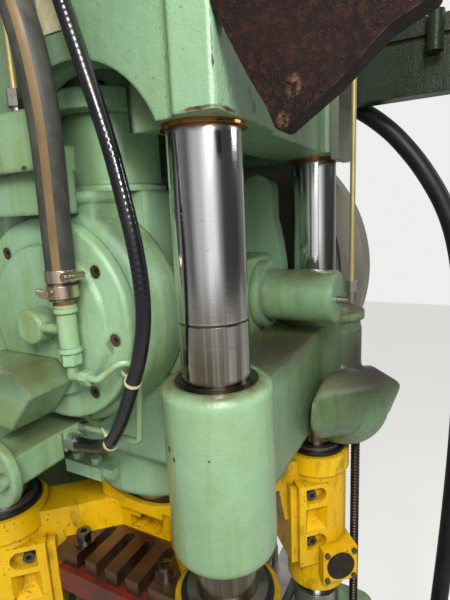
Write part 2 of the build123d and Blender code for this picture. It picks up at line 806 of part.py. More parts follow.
with BuildPart() as motor:
    with BuildSketch(Plane.YZ.offset(motor_near + bell_length)):
        with Locations((motor_y, motor_z)):
            Circle(motor_d / 2 - fin_height)
            with PolarLocations(motor_d / 2 - fin_height, fin_count):
                Rectangle(2 * fin_height, fin_width)
    extrude(amount=motor_far - motor_near - 2 * bell_length)
    with BuildSketch(motor_plane):
        with BuildLine():
            Polyline((motor_near, 0), (motor_near, front_bell_r), (motor_near + front_bell_round, bell_r),
                     (motor_near + bell_length, bell_r), (motor_near + bell_length, 0), (motor_near, 0))
        make_face()
        with BuildLine():
            Polyline((motor_far, 0), (motor_far, rear_bell_face_r),
                     (motor_far - rear_bell_round, rear_bell_r),
                     (motor_far - bell_length, bell_r), (motor_far - bell_length, 0), (motor_far, 0))
        make_face()
    revolve(axis=Axis((0, motor_y, motor_z), (1, 0, 0)))
    with BuildSketch(Plane.XY.offset(saddle_top)):
        with Locations(((motor_near + motor_far) / 2, motor_y)):
            with GridLocations(motor_far - motor_near - foot_inset, 0, 2, 1):
                Rectangle(foot_length, 2 * motor_foot_half)
    extrude(amount=motor_foot_height)
    with BuildSketch(Plane.XY.offset(saddle_top + motor_foot_height)):
        with Locations(((motor_near + motor_far) / 2, motor_y)):
            with GridLocations(motor_far - motor_near - foot_inset, foot_rib_pitch, 2, 2):
                Rectangle(foot_rib_length, foot_rib_width)
    extrude(amount=foot_rib_height)
    with BuildSketch(Plane.XY.offset(motor_z + motor_d / 2 - fin_height - terminal_sink)):
        with Locations((motor_near + terminal_x, motor_y)):
            RectangleRounded(terminal_length, terminal_width, terminal_round)
    extrude(amount=terminal_height)
    with BuildSketch(Plane.YZ.offset(motor_far)):
        with Locations((motor_y, motor_z)):
            Circle(motor_shaft_d / 2 + free_gap)
    extrude(amount=-bell_length, mode=Mode.SUBTRACT)
motor.part.label = "motor"
export_step(motor.part, "parts/motor.step")

with BuildPart() as rotor:
    with BuildSketch(Plane.YZ.offset(motor_far - bell_length + rotor_gap)):
        with Locations((motor_y, motor_z)):
            Circle(motor_shaft_d / 2)
    extrude(amount=pulley_near + pulley_width - motor_far + bell_length - rotor_gap)
    with BuildSketch(motor_plane):
        with BuildLine():
            Polyline(grooved_profile(motor_pulley_d / 2, 0, pulley_near, pulley_width, belt_count))
        make_face()
    revolve(axis=Axis((0, motor_y, motor_z), (1, 0, 0)))
rotor.part.label = "motor_pulley"
export_step(rotor.part, "parts/motor_pulley.step")

belt_pitch = pulley_width / belt_count
belt_share = 0.36
belt_width = belt_pitch * belt_share
belt_proud = 1.2


def belt_outline(proud):
    """Closed loop round both pulleys at one height above their rims, in the YZ plane."""
    with BuildLine(Plane.XY) as loop:
        CenterArc((0, shaft_z), pulley_d / 2 + proud, 0, 360)
        CenterArc((motor_y, motor_z), motor_pulley_d / 2 + proud, 0, 360)
    return loop


with BuildPart() as belts:
    for index in range(belt_count):
        middle = pulley_near + (index + 0.5) * belt_pitch
        with BuildSketch(Plane.YZ.offset(middle - belt_width / 2)):
            make_hull(belt_outline(belt_proud).edges())
            make_hull(belt_outline(free_gap - groove_depth).edges(), mode=Mode.SUBTRACT)
        extrude(amount=belt_width)
belts.part.label = "drive_belts"
export_step(belts.part, "parts/drive_belts.step")

# Guide columns: hard chromed, with a fine groove round each that ends the worn band
groove_z = 1484.0
groove_cut = 0.8
groove_width = 3.0
column_edge = 3.0
for (cx, cy), name in zip(corners, corner_names):
    with BuildPart() as column:
        with BuildSketch(Plane.XY.offset(column_bottom)):
            with Locations((cx, cy)):
                Circle(column_r)
        extrude(amount=column_top - column_bottom)
        chamfer(column.edges().filter_by(GeomType.CIRCLE), column_edge)
        with BuildSketch(Plane.XY.offset(groove_z)):
            with Locations((cx, cy)):
                Circle(column_r + 1)
                Circle(column_r - groove_cut, mode=Mode.SUBTRACT)
        extrude(amount=groove_width, mode=Mode.SUBTRACT)
    column.part.label = f"column_{name}"
    export_step(column.part, f"parts/column_{name}.step")

# Ram casting: a hub box, four diagonal arms and the split sleeves, with screw pockets beside each sleeve
box_half_x = 96.0
box_half_y = 112.0
box_corner = 26.0
arm_step = 200.0
arm_root_low = 985.0
arm_end = math.hypot(column_x, column_y)
window_r = 25.0
window_z = 1082.0
window_y = -14.0
window_depth = 30.0
clamp_start = 232.0
clamp_half = sleeve_d / 2
clamp_top = 1070.0
flange_start = 218.0
flange_half = 52.0
pocket_start = 248.0
pocket_length = 42.0
pocket_height = 32.0
pocket_depth = 15.0
pocket_flat = pocket_length - pocket_height / 2
pocket_levels = (941.0, 1045.0)
cup_z = 993.0
cup_height = 50.0
cup_depth = 22.0
slit = 4.0
edge_blend = 6.0
head_d = 20.0
worm_z = 893.0
worm_side = 74.0
worm_out = 82.0
worm_shift = 17.0
worm_cover_r = 29.0
worm_cover_out = 4.0
worm_screw_r = 5.5
worm_screw_place = 29.0


def arm_plane(cx, cy, offset):
    """Upright plane along an arm: x runs out from the slide centre, y up, shifted to one side."""
    reach = math.hypot(cx, cy)
    return Plane(origin=(cy / reach * offset, -cx / reach * offset, 0), x_dir=(cx, cy, 0), z_dir=(cy, -cx, 0))


def worm_plane(cx, cy):
    """Face of the worm block on a sleeve: it looks inwards and to the front or rear."""
    look = Vector(-math.copysign(0.77, cx), math.copysign(0.64, cy), 0).normalized()
    across = Vector(math.copysign(0.64, cx), math.copysign(0.77, cy), 0).normalized()
    spot = Vector(cx, cy, worm_z) + look * worm_out + across * worm_shift
    return Plane(origin=spot, x_dir=across, z_dir=look)


with BuildPart() as ram:
    with BuildSketch(Plane.XY.offset(plate_top)):
        RectangleRounded(2 * box_half_x, 2 * box_half_y, box_corner)
    extrude(amount=arm_top - plate_top)
    for cx, cy in corners:
        with BuildSketch(arm_plane(cx, cy, -arm_half)):
            with BuildLine():
                Polyline((0, plate_top), (arm_step, plate_top), (arm_step + 12, arm_root_low),
                         (arm_end, arm_root_low), (arm_end, arm_top), (0, arm_top), (0, plate_top))
            make_face()
        extrude(amount=2 * arm_half)
        with BuildSketch(arm_plane(cx, cy, -clamp_half)):
            with Locations(((clamp_start + arm_end) / 2, (arm_low + clamp_top) / 2)):
                Rectangle(arm_end - clamp_start, clamp_top - arm_low)
        extrude(amount=2 * clamp_half)
        with BuildSketch(arm_plane(cx, cy, -flange_half)):
            with Locations(((flange_start + clamp_start) / 2, (arm_low + clamp_top) / 2)):
                Rectangle(clamp_start - flange_start, clamp_top - arm_low - 12)
        extrude(amount=2 * flange_half)
        with BuildSketch(worm_plane(cx, cy)):
            Rectangle(worm_side, worm_side)
        extrude(amount=-worm_out)
    with BuildSketch(Plane.XY.offset(sleeve_low)):
        with Locations(*corners):
            Circle(sleeve_d / 2)
    extrude(amount=sleeve_top - sleeve_low)
    with BuildSketch(Plane.XY.offset(collar_low)):
        with Locations(*corners):
            Circle(collar_d / 2)
    extrude(amount=sleeve_top - collar_low)
    for cx, cy in corners:
        for side in (-1, 1):
            with BuildSketch(arm_plane(cx, cy, side * clamp_half)):
                for level in pocket_levels:
                    with Locations((pocket_start + pocket_flat / 2, level)):
                        Rectangle(pocket_flat, pocket_height)
                    with Locations((pocket_start + pocket_flat, level)):
                        Circle(pocket_height / 2)
            extrude(amount=-side * pocket_depth, mode=Mode.SUBTRACT)
            with BuildSketch(arm_plane(cx, cy, side * clamp_half)):
                with Locations((pocket_start + pocket_length / 2, cup_z)):
                    Rectangle(pocket_length + 4, cup_height)
            extrude(amount=-side * cup_depth, taper=32, mode=Mode.SUBTRACT)
        with BuildSketch(arm_plane(cx, cy, -slit / 2)):
            with Locations((arm_end + sleeve_d / 4, (sleeve_low + clamp_top) / 2)):
                Rectangle(sleeve_d / 2 + 20, clamp_top - sleeve_low + 20)
        extrude(amount=slit, mode=Mode.SUBTRACT)
    for side in (-1, 1):
        with BuildSketch(Plane.YZ.offset(side * box_half_x)):
            with Locations((window_y, window_z)):
                Circle(window_r)
            with Locations((window_y + window_r, window_z - window_r / 2)):
                Rectangle(window_r * 1.6, window_r)
        extrude(amount=-side * window_depth, mode=Mode.SUBTRACT)
    with BuildSketch(Plane.XY.offset(sleeve_low - 1)):
        with Locations(*corners):
            Circle(column_r + running_fit)
    extrude(amount=sleeve_top, mode=Mode.SUBTRACT)
ram.part.label = "ram"
export_step(ram.part, "parts/ram.step")

# Round covers of the worm blocks
with BuildPart() as worm_covers:
    for cx, cy in corners:
        with BuildSketch(worm_plane(cx, cy)):
            Circle(worm_cover_r)
        extrude(amount=worm_cover_out)
worm_covers.part.label = "worm_covers"
export_step(worm_covers.part, "parts/worm_covers.step")

# Rings on the sleeves: an oiled seal and a bright retaining ring round each column
ring_r = 60.0
ring_height = 7.0
bright_r = 52.0
bright_height = 6.0
with BuildPart() as seal_rings:
    with BuildSketch(Plane.XY.offset(sleeve_top)):
        with Locations(*corners):
            Circle(ring_r)
            Circle(column_r + running_fit, mode=Mode.SUBTRACT)
    extrude(amount=ring_height)
    fillet(seal_rings.edges().filter_by(GeomType.CIRCLE).group_by(Axis.Z)[-1].sort_by(SortBy.RADIUS)[-4:], 2)
seal_rings.part.label = "sleeve_seals"
export_step(seal_rings.part, "parts/sleeve_seals.step")

with BuildPart() as bright_rings:
    with BuildSketch(Plane.XY.offset(sleeve_top + ring_height)):
        with Locations(*corners):
            Circle(bright_r)
            Circle(column_r + running_fit, mode=Mode.SUBTRACT)
    extrude(amount=bright_height)
bright_rings.part.label = "sleeve_rings"
export_step(bright_rings.part, "parts/sleeve_rings.step")

# Plunger and its flange ring between the ram and the head's hub
plunger_top = 1290.0
flange_r = box_half_x - 2
flange_top = 1142.0
with BuildPart() as plunger:
    with BuildSketch(Plane.XY.offset(arm_top)):
        Circle(flange_r)
    extrude(amount=flange_top - arm_top)
    with BuildSketch(Plane.XY.offset(arm_top)):
        Circle(plunger_r)
    extrude(amount=plunger_top - arm_top)
    chamfer(plunger.edges().group_by(Axis.Z)[-1], 3)
plunger.part.label = "plunger"
export_step(plunger.part, "parts/plunger.step")

# Curved guard plates on the hub box, left and right
guard_thickness = 9.0
guard_half = 84.0
guard_low = 1100.0
guard_step = 46.0
guard_seat = arm_top + free_gap / 10
guard_mid = 1120.0
guard_top = 1146.0
with BuildPart() as guards:
    for side in (-1, 1):
        with BuildSketch(Plane.YZ.offset(side * (box_half_x + free_gap / 10))):
            with BuildLine():
                Polyline((-guard_half, guard_top), (-guard_half, guard_seat), (-guard_step, guard_seat),
                         (-guard_step, guard_low), (guard_step, guard_low), (guard_step, guard_seat),
                         (guard_half, guard_seat), (guard_half, guard_top))
                ThreePointArc((guard_half, guard_top), (0, guard_mid), (-guard_half, guard_top))
            make_face()
        extrude(amount=side * guard_thickness)
guards.part.label = "hub_guards"
export_step(guards.part, "parts/hub_guards.step")

# Tool plate below the ram, with open slots cut from its left and right edges, and its cap screws
open_slot_pitch = 43.0
open_slot_length = 82.0
open_slot_width = 19.0
open_slot_count = 4
plate_screw_x = 157.0
plate_screw_y = 86.0
plate_screw_r = 12.0
plate_screw_height = 18.0
with BuildPart() as tool_plate:
    with BuildSketch(Plane.XY.offset(plate_low)):
        RectangleRounded(2 * plate_half_x, 2 * plate_half_y, 4)
        for side in (-1, 1):
            with Locations((side * plate_half_x, 0)):
                with GridLocations(0, open_slot_pitch, 1, open_slot_count):
                    SlotOverall(2 * open_slot_length, open_slot_width, mode=Mode.SUBTRACT)
    extrude(amount=plate_thickness)
tool_plate.part.label = "tool_plate"
export_step(tool_plate.part, "parts/tool_plate.step")

# Screws of the ram: sunk in the sleeve pockets, round the worm covers and through the tool plate
washer_out = 5.0
washer_height = 3.0
with BuildPart() as ram_screws:
    for cx, cy in corners:
        for side in (-1, 1):
            with BuildSketch(arm_plane(cx, cy, side * (clamp_half - pocket_depth))):
                for level in pocket_levels:
                    with Locations((pocket_start + head_d / 2 + 3, level)):
                        Circle(head_d / 2)
                        RegularPolygon(head_d / 4, 6, mode=Mode.SUBTRACT)
            extrude(amount=side * (pocket_depth - 4))
        with BuildSketch(worm_plane(cx, cy)):
            with GridLocations(2 * worm_screw_place, 2 * worm_screw_place, 2, 2):
                Circle(worm_screw_r)
        extrude(amount=worm_screw_r)
    with BuildSketch(Plane.XY.offset(plate_top)):
        with GridLocations(2 * plate_screw_x, 2 * plate_screw_y, 2, 2):
            Circle(plate_screw_r + washer_out)
    extrude(amount=washer_height)
    with BuildSketch(Plane.XY.offset(plate_top + washer_height)):
        with GridLocations(2 * plate_screw_x, 2 * plate_screw_y, 2, 2):
            Circle(plate_screw_r)
            RegularPolygon(plate_screw_r / 2, 6, mode=Mode.SUBTRACT)
    extrude(amount=plate_screw_height)
ram_screws.part.label = "ram_screws"
export_step(ram_screws.part, "parts/ram_screws.step")

# Upper shoe of the tool set with its guide bushes and punch block
post_bush_r = guide_post_d / 2 + 9
post_bush_drop = 34.0
punch_half_x = 110.0
punch_half_y = 78.0
die_half_x = 118.0
die_half_y = 86.0
die_height = 92.0
opening = 36.0
with BuildPart() as upper_shoe:
    with BuildSketch(Plane.XY.offset(shoe_low)):
        RectangleRounded(2 * tool_half_x, 2 * tool_half_y, 5)
    extrude(amount=shoe_thickness)
    with BuildSketch(Plane.XY.offset(shoe_low)):
        with GridLocations(2 * guide_post_x, 2 * guide_post_y, 2, 2):
            Circle(guide_post_d / 2 + 2)
    extrude(amount=shoe_thickness, mode=Mode.SUBTRACT)
upper_shoe.part.label = "upper_tool_shoe"
export_step(upper_shoe.part, "parts/upper_tool_shoe.step")

with BuildPart() as post_bushes:
    with BuildSketch(Plane.XY.offset(shoe_low - post_bush_drop)):
        with GridLocations(2 * guide_post_x, 2 * guide_post_y, 2, 2):
            Circle(post_bush_r)
            Circle(guide_post_d / 2 + running_fit, mode=Mode.SUBTRACT)
    extrude(amount=post_bush_drop)
post_bushes.part.label = "tool_guide_bushes"
export_step(post_bushes.part, "parts/tool_guide_bushes.step")

die_top = lower_shoe_top + die_height
punch_low = die_top + opening
with BuildPart() as punch:
    with BuildSketch(Plane.XY.offset(punch_low)):
        RectangleRounded(2 * punch_half_x, 2 * punch_half_y, 3)
    extrude(amount=shoe_low - punch_low)
punch.part.label = "punch_block"
export_step(punch.part, "parts/punch_block.step")

# Lower shoe, die block and guide posts, clamped to the bolster
post_top = plate_low - stroke - 8
with BuildPart() as lower_shoe:
    with BuildSketch(Plane.XY.offset(bolster_top)):
        RectangleRounded(2 * tool_half_x, 2 * tool_half_y, 5)
        RectangleRounded(bed_window_half_x, bed_window_half_y - 20, 8, mode=Mode.SUBTRACT)
    extrude(amount=lower_shoe_thickness)
lower_shoe.part.label = "lower_tool_shoe"
export_step(lower_shoe.part, "parts/lower_tool_shoe.step")

with BuildPart() as die:
    with BuildSketch(Plane.XY.offset(lower_shoe_top)):
        RectangleRounded(2 * die_half_x, 2 * die_half_y, 3)
    extrude(amount=die_height)
    with BuildSketch(Plane.YZ.offset(-die_half_x)):
        with Locations((0, die_top)):
            Rectangle(96, 12)
    extrude(amount=2 * die_half_x, mode=Mode.SUBTRACT)
die.part.label = "die_block"
export_step(die.part, "parts/die_block.step")

with BuildPart() as posts:
    with BuildSketch(Plane.XY.offset(lower_shoe_top)):
        with GridLocations(2 * guide_post_x, 2 * guide_post_y, 2, 2):
            Circle(guide_post_d / 2)
    extrude(amount=post_top - lower_shoe_top)
    with BuildSketch(Plane.XY.offset(lower_shoe_top)):
        with GridLocations(2 * guide_post_x, 2 * guide_post_y, 2, 2):
            Circle(guide_post_d / 2 + 8)
    extrude(amount=10)
posts.part.label = "tool_guide_posts"
export_step(posts.part, "parts/tool_guide_posts.step")

# Clamps that hold the lower shoe down in the bolster's slots
clamp_y = slot_pitch
with BuildPart() as tool_clamps:
    for side in (-1, 1):
        with BuildSketch(Plane.XY.offset(lower_shoe_top)):
            with Locations((side * (tool_half_x + 16), clamp_y), (side * (tool_half_x + 16), -clamp_y)):
                Rectangle(52, 24)
        extrude(amount=14)
        with BuildSketch(Plane.XY.offset(bolster_top)):
            with Locations((side * (tool_half_x + 38), clamp_y), (side * (tool_half_x + 38), -clamp_y)):
                Rectangle(18, 24)
        extrude(amount=lower_shoe_thickness)
        with BuildSketch(Plane.XY.offset(bolster_top - slot_depth)):
            with Locations((side * (tool_half_x + 16), clamp_y), (side * (tool_half_x + 16), -clamp_y)):
                Circle(7)
        extrude(amount=lower_shoe_thickness + slot_depth + 34)
        with BuildSketch(Plane.XY.offset(lower_shoe_top + 14)):
            with Locations((side * (tool_half_x + 16), clamp_y), (side * (tool_half_x + 16), -clamp_y)):
                RegularPolygon(11, 6, major_radius=False)
        extrude(amount=12)
tool_clamps.part.label = "tool_clamps"
export_step(tool_clamps.part, "parts/tool_clamps.step")

# Horizontal pivot housing between the front columns, on a pad of the head's front wall
pad_r = 58.0
pad_thickness = 16.0
with BuildPart() as pin_housing:
    with BuildSketch(Plane.XZ.offset(-head_front)):
        with Locations((pin_x, pin_z)):
            Circle(pad_r)
    extrude(amount=pad_thickness)
    with BuildSketch(Plane.XZ.offset(-head_front + pad_thickness)):
        with Locations((pin_x, pin_z)):
            Circle(pin_d / 2)
    extrude(amount=-pin_front + head_front - pad_thickness)
    chamfer(pin_housing.edges().filter_by(GeomType.CIRCLE).group_by(Axis.Y)[0], 2.5)
pin_housing.part.label = "pivot_housing"
export_step(pin_housing.part, "parts/pivot_housing.step")

# Elbow on the pivot housing's end, brass nuts and the drum pipe's lower nut
brass_x = pin_x - 4
elbow_y = pin_front - 22
elbow_z = pin_z - 4
brass_r = 4.0
nut_low = elbow_z + 14
nut_height = 18.0
block_tube_x = -263.0
block_tube_y = -20.0
block_nut_foot = 6.0
with BuildPart() as fittings:
    with BuildSketch(Plane.XZ.offset(-pin_front)):
        with Locations((brass_x, elbow_z)):
            Circle(stub_r - 1)
    extrude(amount=pin_front - elbow_y)
    with BuildSketch(Plane.XY.offset(elbow_z)):
        with Locations((brass_x, elbow_y)):
            Circle(stub_r)
    extrude(amount=nut_low - elbow_z)
    with Locations((brass_x, elbow_y, elbow_z)):
        Sphere(stub_r)
    with BuildSketch(Plane.XY.offset(nut_low)):
        with Locations((brass_x, elbow_y)):
            RegularPolygon(small_nut, 6, major_radius=False)
    extrude(amount=nut_height)
    with BuildSketch(Plane.XY.offset(block_top)):
        with Locations((block_tube_x, block_tube_y)):
            Circle(stub_r - 1)
    extrude(amount=block_nut_foot)
    with BuildSketch(Plane.XY.offset(block_top + block_nut_foot)):
        with Locations((block_tube_x, block_tube_y)):
            RegularPolygon(small_nut, 6, major_radius=False)
    extrude(amount=nut_height)
fittings.part.label = "tube_fittings"
export_step(fittings.part, "parts/tube_fittings.step")

# Brass tubes: from the pivot elbow up to the crown's front, and from the valve block up to the crown's side
brass_top = 1930.0
brass_radius = 34.0
block_tube_top = 1905.0
block_tube_radius = 7.0
brass_points = [(brass_x, elbow_y, nut_low + nut_height), (brass_x, elbow_y, brass_top),
                (brass_x, crown_front, brass_top)]
block_tube_points = [(block_tube_x, block_tube_y, block_top + block_nut_foot + nut_height),
                     (block_tube_x, block_tube_y, block_tube_top),
                     (-crown_half_x, block_tube_y, block_tube_top)]
with BuildPart() as tubes:
    for points, radius in ((brass_points, brass_radius), (block_tube_points, block_tube_radius)):
        with BuildLine() as route:
            FilletPolyline(*points, radius=radius)
        with BuildSketch(Plane.XY.offset(points[0][2])):
            with Locations(points[0][:2]):
                Circle(brass_r)
        sweep(path=route.wires()[0])
tubes.part.label = "brass_tubes"
export_step(tubes.part, "parts/brass_tubes.step")

# Small oil box hung under the drum's foot on a lid plate, with a port boss at its right end
box_left = -320.0
box_right = -243.0
box_front = 0.0
box_back = 62.0
box_low = 1284.0
box_top = 1320.0
lid_right = -180.0
port_right = -203.0
port_front = -2.0
port_back = 44.0
port_low = 1292.0
port_high = foot_low
with BuildPart() as oil_box:
    with BuildSketch(Plane.XY.offset(box_low)):
        with Locations(((box_left + box_right) / 2, (box_front + box_back) / 2)):
            RectangleRounded(box_right - box_left, box_back - box_front, 3)
    extrude(amount=box_top - box_low)
    with BuildSketch(Plane.XY.offset(port_low)):
        with Locations(((box_right + port_right) / 2, (port_front + port_back) / 2)):
            Rectangle(port_right - box_right, port_back - port_front)
    extrude(amount=port_high - port_low)
    with BuildSketch(Plane.XY.offset(box_top)):
        with Locations(((box_left + lid_right) / 2, (box_front + box_back) / 2)):
            Rectangle(lid_right - box_left, box_back - box_front)
    extrude(amount=foot_low - box_top)
oil_box.part.label = "oil_box"
export_step(oil_box.part, "parts/oil_box.step")

# Round end flange of the oil box, with its cap screws
flange_y = 30.0
flange_z = 1303.0
flange_disc_r = 46.0
flange_disc = 12.0
flange_screw_circle = 30.0
flange_screw_r = 9.0
with BuildPart() as end_flange:
    with BuildSketch(Plane.YZ.offset(box_left)):
        with Locations((flange_y, flange_z)):
            Circle(flange_disc_r)
    extrude(amount=-flange_disc)
    chamfer(end_flange.edges().filter_by(GeomType.CIRCLE).group_by(Axis.X)[0], 2)
    with BuildSketch(Plane.YZ.offset(box_left - flange_disc)):
        with Locations((flange_y, flange_z)):
            with PolarLocations(flange_screw_circle, 4):
                Circle(flange_screw_r)
                RegularPolygon(flange_screw_r / 2, 6, mode=Mode.SUBTRACT)
    extrude(amount=-flange_screw_r)
end_flange.part.label = "box_end_flange"
export_step(end_flange.part, "parts/box_end_flange.step")

# Painted pipe from the tee's elbow round the drum and back to the oil box's lid
pipe_r = 4.5
pipe_start = tee_y - elbow_reach - small_nut_height
pipe_end_x = -211.0
pipe_end_z = 1315.0
pipe_points = [(tee_x, pipe_start, elbow_drop), (tee_x, pipe_start - 12, elbow_drop), (-249, -141, 1453),
               (-229, -128, 1404), (-214, -108, pipe_end_z), (pipe_end_x, -58, pipe_end_z),
               (pipe_end_x, port_front - small_nut_height, pipe_end_z)]
pipe_bends = [12, 14, 30, 12, 60]
with BuildPart() as drum_pipe:
    with BuildLine() as pipe_route:
        FilletPolyline(*pipe_points, radius=pipe_bends)
    with BuildSketch(Plane(pipe_route.wires()[0] ^ 0)):
        Circle(pipe_r)
    sweep(path=pipe_route.wires()[0])
drum_pipe.part.label = "drum_pipe"
export_step(drum_pipe.part, "parts/drum_pipe.step")

# Distributor with three stubs, on the side of the head's hub
manifold_x = -172.0
manifold_low = 1198.0
manifold_high = 1220.0
manifold_front = 14.0
manifold_back = 90.0
manifold_root = 80.0
stub_across = 8.0
stub_height = 11.0
with BuildPart() as manifold:
    with BuildSketch(Plane.XY.offset(manifold_low)):
        with Locations(((manifold_x - manifold_root) / 2, (manifold_front + manifold_back) / 2)):
            Rectangle(-manifold_x - manifold_root, manifold_back - manifold_front)
        Circle(hub_d / 2 + free_gap / 10, mode=Mode.SUBTRACT)
    extrude(amount=manifold_high - manifold_low)
    with BuildSketch(Plane.XZ.offset(-manifold_front)):
        with Locations((manifold_x + 12, (manifold_low + manifold_high) / 2)):
            RegularPolygon(stub_across + 1, 6, major_radius=False)
    extrude(amount=stub_height + 7)
    with BuildSketch(Plane.XY.offset(manifold_high)):
        with Locations((manifold_x + 12, manifold_front + 18), (manifold_x + 12, manifold_back - 18)):
            RegularPolygon(stub_across, 6, major_radius=False)
    extrude(amount=stub_height)
manifold.part.label = "oil_distributor"
export_step(manifold.part, "parts/oil_distributor.step")

# Threaded spindle from the front lobe down to the bed, with a nut at each end
spindle_x = 224.0
spindle_y = -297.0
spindle_r = 9.0
spindle_nut = 12.0
spindle_nut_height = 16.0
with BuildPart() as spindle:
    with BuildSketch(Plane.XY.offset(bed_top)):
        with Locations((spindle_x, spindle_y)):
            Circle(spindle_r)
    extrude(amount=ear_low - bed_top)
    for level in (bed_top, ear_low - spindle_nut_height):
        with BuildSketch(Plane.XY.offset(level)):
            with Locations((spindle_x, spindle_y)):
                RegularPolygon(spindle_nut, 6, major_radius=False)
        extrude(amount=spindle_nut_height)
spindle.part.label = "threaded_spindle"
export_step(spindle.part, "parts/threaded_spindle.step")

# Steel facing plate on the right pilaster, and the side beam that runs forward from the pilaster
facing_left = 118.0
facing_right = 205.0
facing_thickness = 12.0
facing_low = 1680.0
facing_top = 1960.0
beam_x = 263.0
beam_half = 18.0
beam_low = 1784.0
beam_high = 1903.0
beam_front = -520.0
beam_recess = 8.0
beam_band = 28.0
beam_stud_y = -412.0
beam_stud_r = 13.0
beam_stud_height = 60.0
with BuildPart() as facing:
    with BuildSketch(Plane.XZ.offset(-pilaster_front)):
        with Locations(((facing_left + facing_right) / 2, (facing_low + facing_top) / 2)):
            Rectangle(facing_right - facing_left, facing_top - facing_low)
    extrude(amount=facing_thickness)
facing.part.label = "facing_plate"
export_step(facing.part, "parts/facing_plate.step")

with BuildPart() as beam:
    with BuildSketch(Plane.XZ.offset(-pilaster_front)):
        with Locations((beam_x, (beam_low + beam_high) / 2)):
            Rectangle(2 * beam_half, beam_high - beam_low)
    extrude(amount=pilaster_front - beam_front)
    with BuildSketch(Plane.YZ.offset(beam_x - beam_half)):
        with Locations(((pilaster_front + beam_front) / 2, (beam_low + beam_high) / 2)):
            Rectangle(pilaster_front - beam_front - beam_band, beam_high - beam_low - 2 * beam_band)
    extrude(amount=beam_recess, mode=Mode.SUBTRACT)
    with BuildSketch(Plane.XY.offset(beam_high - beam_stud_height)):
        with Locations((beam_x - beam_half - beam_stud_r, beam_stud_y)):
            Circle(beam_stud_r)
            Rectangle(2 * beam_stud_r + 2 * beam_recess, beam_stud_r, align=(Align.MIN, Align.CENTER))
    extrude(amount=beam_stud_height)
beam.part.label = "side_beam"
export_step(beam.part, "parts/side_beam.step")

# Rusted steel bracket plate that stands out from the crown's front on the left
bracket_thickness = 26.0
bracket_front = -440.0
bracket_front_low = 1737.0
bracket_top = 1985.0
bracket_root_low = 1773.0
bracket_edge = 6.0
bracket_neck = [(-283, 1742), (-299, 1711), (-314, 1686)]
bracket_tip = (-325, 1661)
bracket_foot = [(-372, 1692), (-408, 1723)]
with BuildPart() as bracket:
    with BuildSketch(Plane.YZ.offset(left_pilaster_x)):
        with BuildLine():
            FilletPolyline((left_pilaster_front, bracket_top), (left_pilaster_front, bracket_root_low),
                           *bracket_neck, bracket_tip, *bracket_foot,
                           (bracket_front, bracket_front_low), (bracket_front, bracket_top),
                           radius=bracket_edge)
            Line((bracket_front, bracket_top), (left_pilaster_front, bracket_top))
        make_face()
    extrude(amount=bracket_thickness)
bracket.part.label = "bracket_plate"
export_step(bracket.part, "parts/bracket_plate.step")

# Hose routes, from the tee up to the crown's side, from there to the oil box, and down the flywheel side
hydraulic_r = 8.5
thick_r = 17.0
port_x = -233.0
port_z = 1304.0
ferrule_length = 28.0
port_ferrule = 16.0
side_port_z = 1940.0
side_port_drop = 12.0
striped_end = (-284.0, -45.0)
hydraulic_end = (-270.0, -90.0)
floor_gland = (300.0, -455.0)
floor_gland_top = 258.0
hose_end_z = side_port_z - side_port_drop
striped_points = [(tee_x, tee_y, tee_top + barb_height), (tee_x, tee_y, 1570), (-270, -68, 1630),
                  (-280, -81, 1700), (-288, -82, 1765), (-288, -66, 1820), (*striped_end, 1880),
                  (*striped_end, hose_end_z)]
hydraulic_points = [(*hydraulic_end, hose_end_z), (*hydraulic_end, 1884), (-272, -104, 1836),
                    (-272, -119, 1788), (-272, -137, 1732), (-272, -155, 1675), (-270, -166, 1618),
                    (-266, -174, 1559), (-262, -173, 1500), (-258, -158, 1450), (-252, -136, 1407),
                    (-244, -107, 1353),
                    (port_x, -66, port_z), (port_x, port_front - port_ferrule, port_z)]
thick_points = [(320, -170, 1832), (320, -209, 1822), (320, -247, 1807), (320, -283, 1786), (320, -318, 1759),
                (320, -352, 1726), (320, -400, 1664), (320, -446, 1579), (320, -470, 1480), (320, -482, 1350),
                (318, -484, 1150), (312, -476, 900), (304, -460, 620), (*floor_gland, 430),
                (*floor_gland, floor_gland_top)]

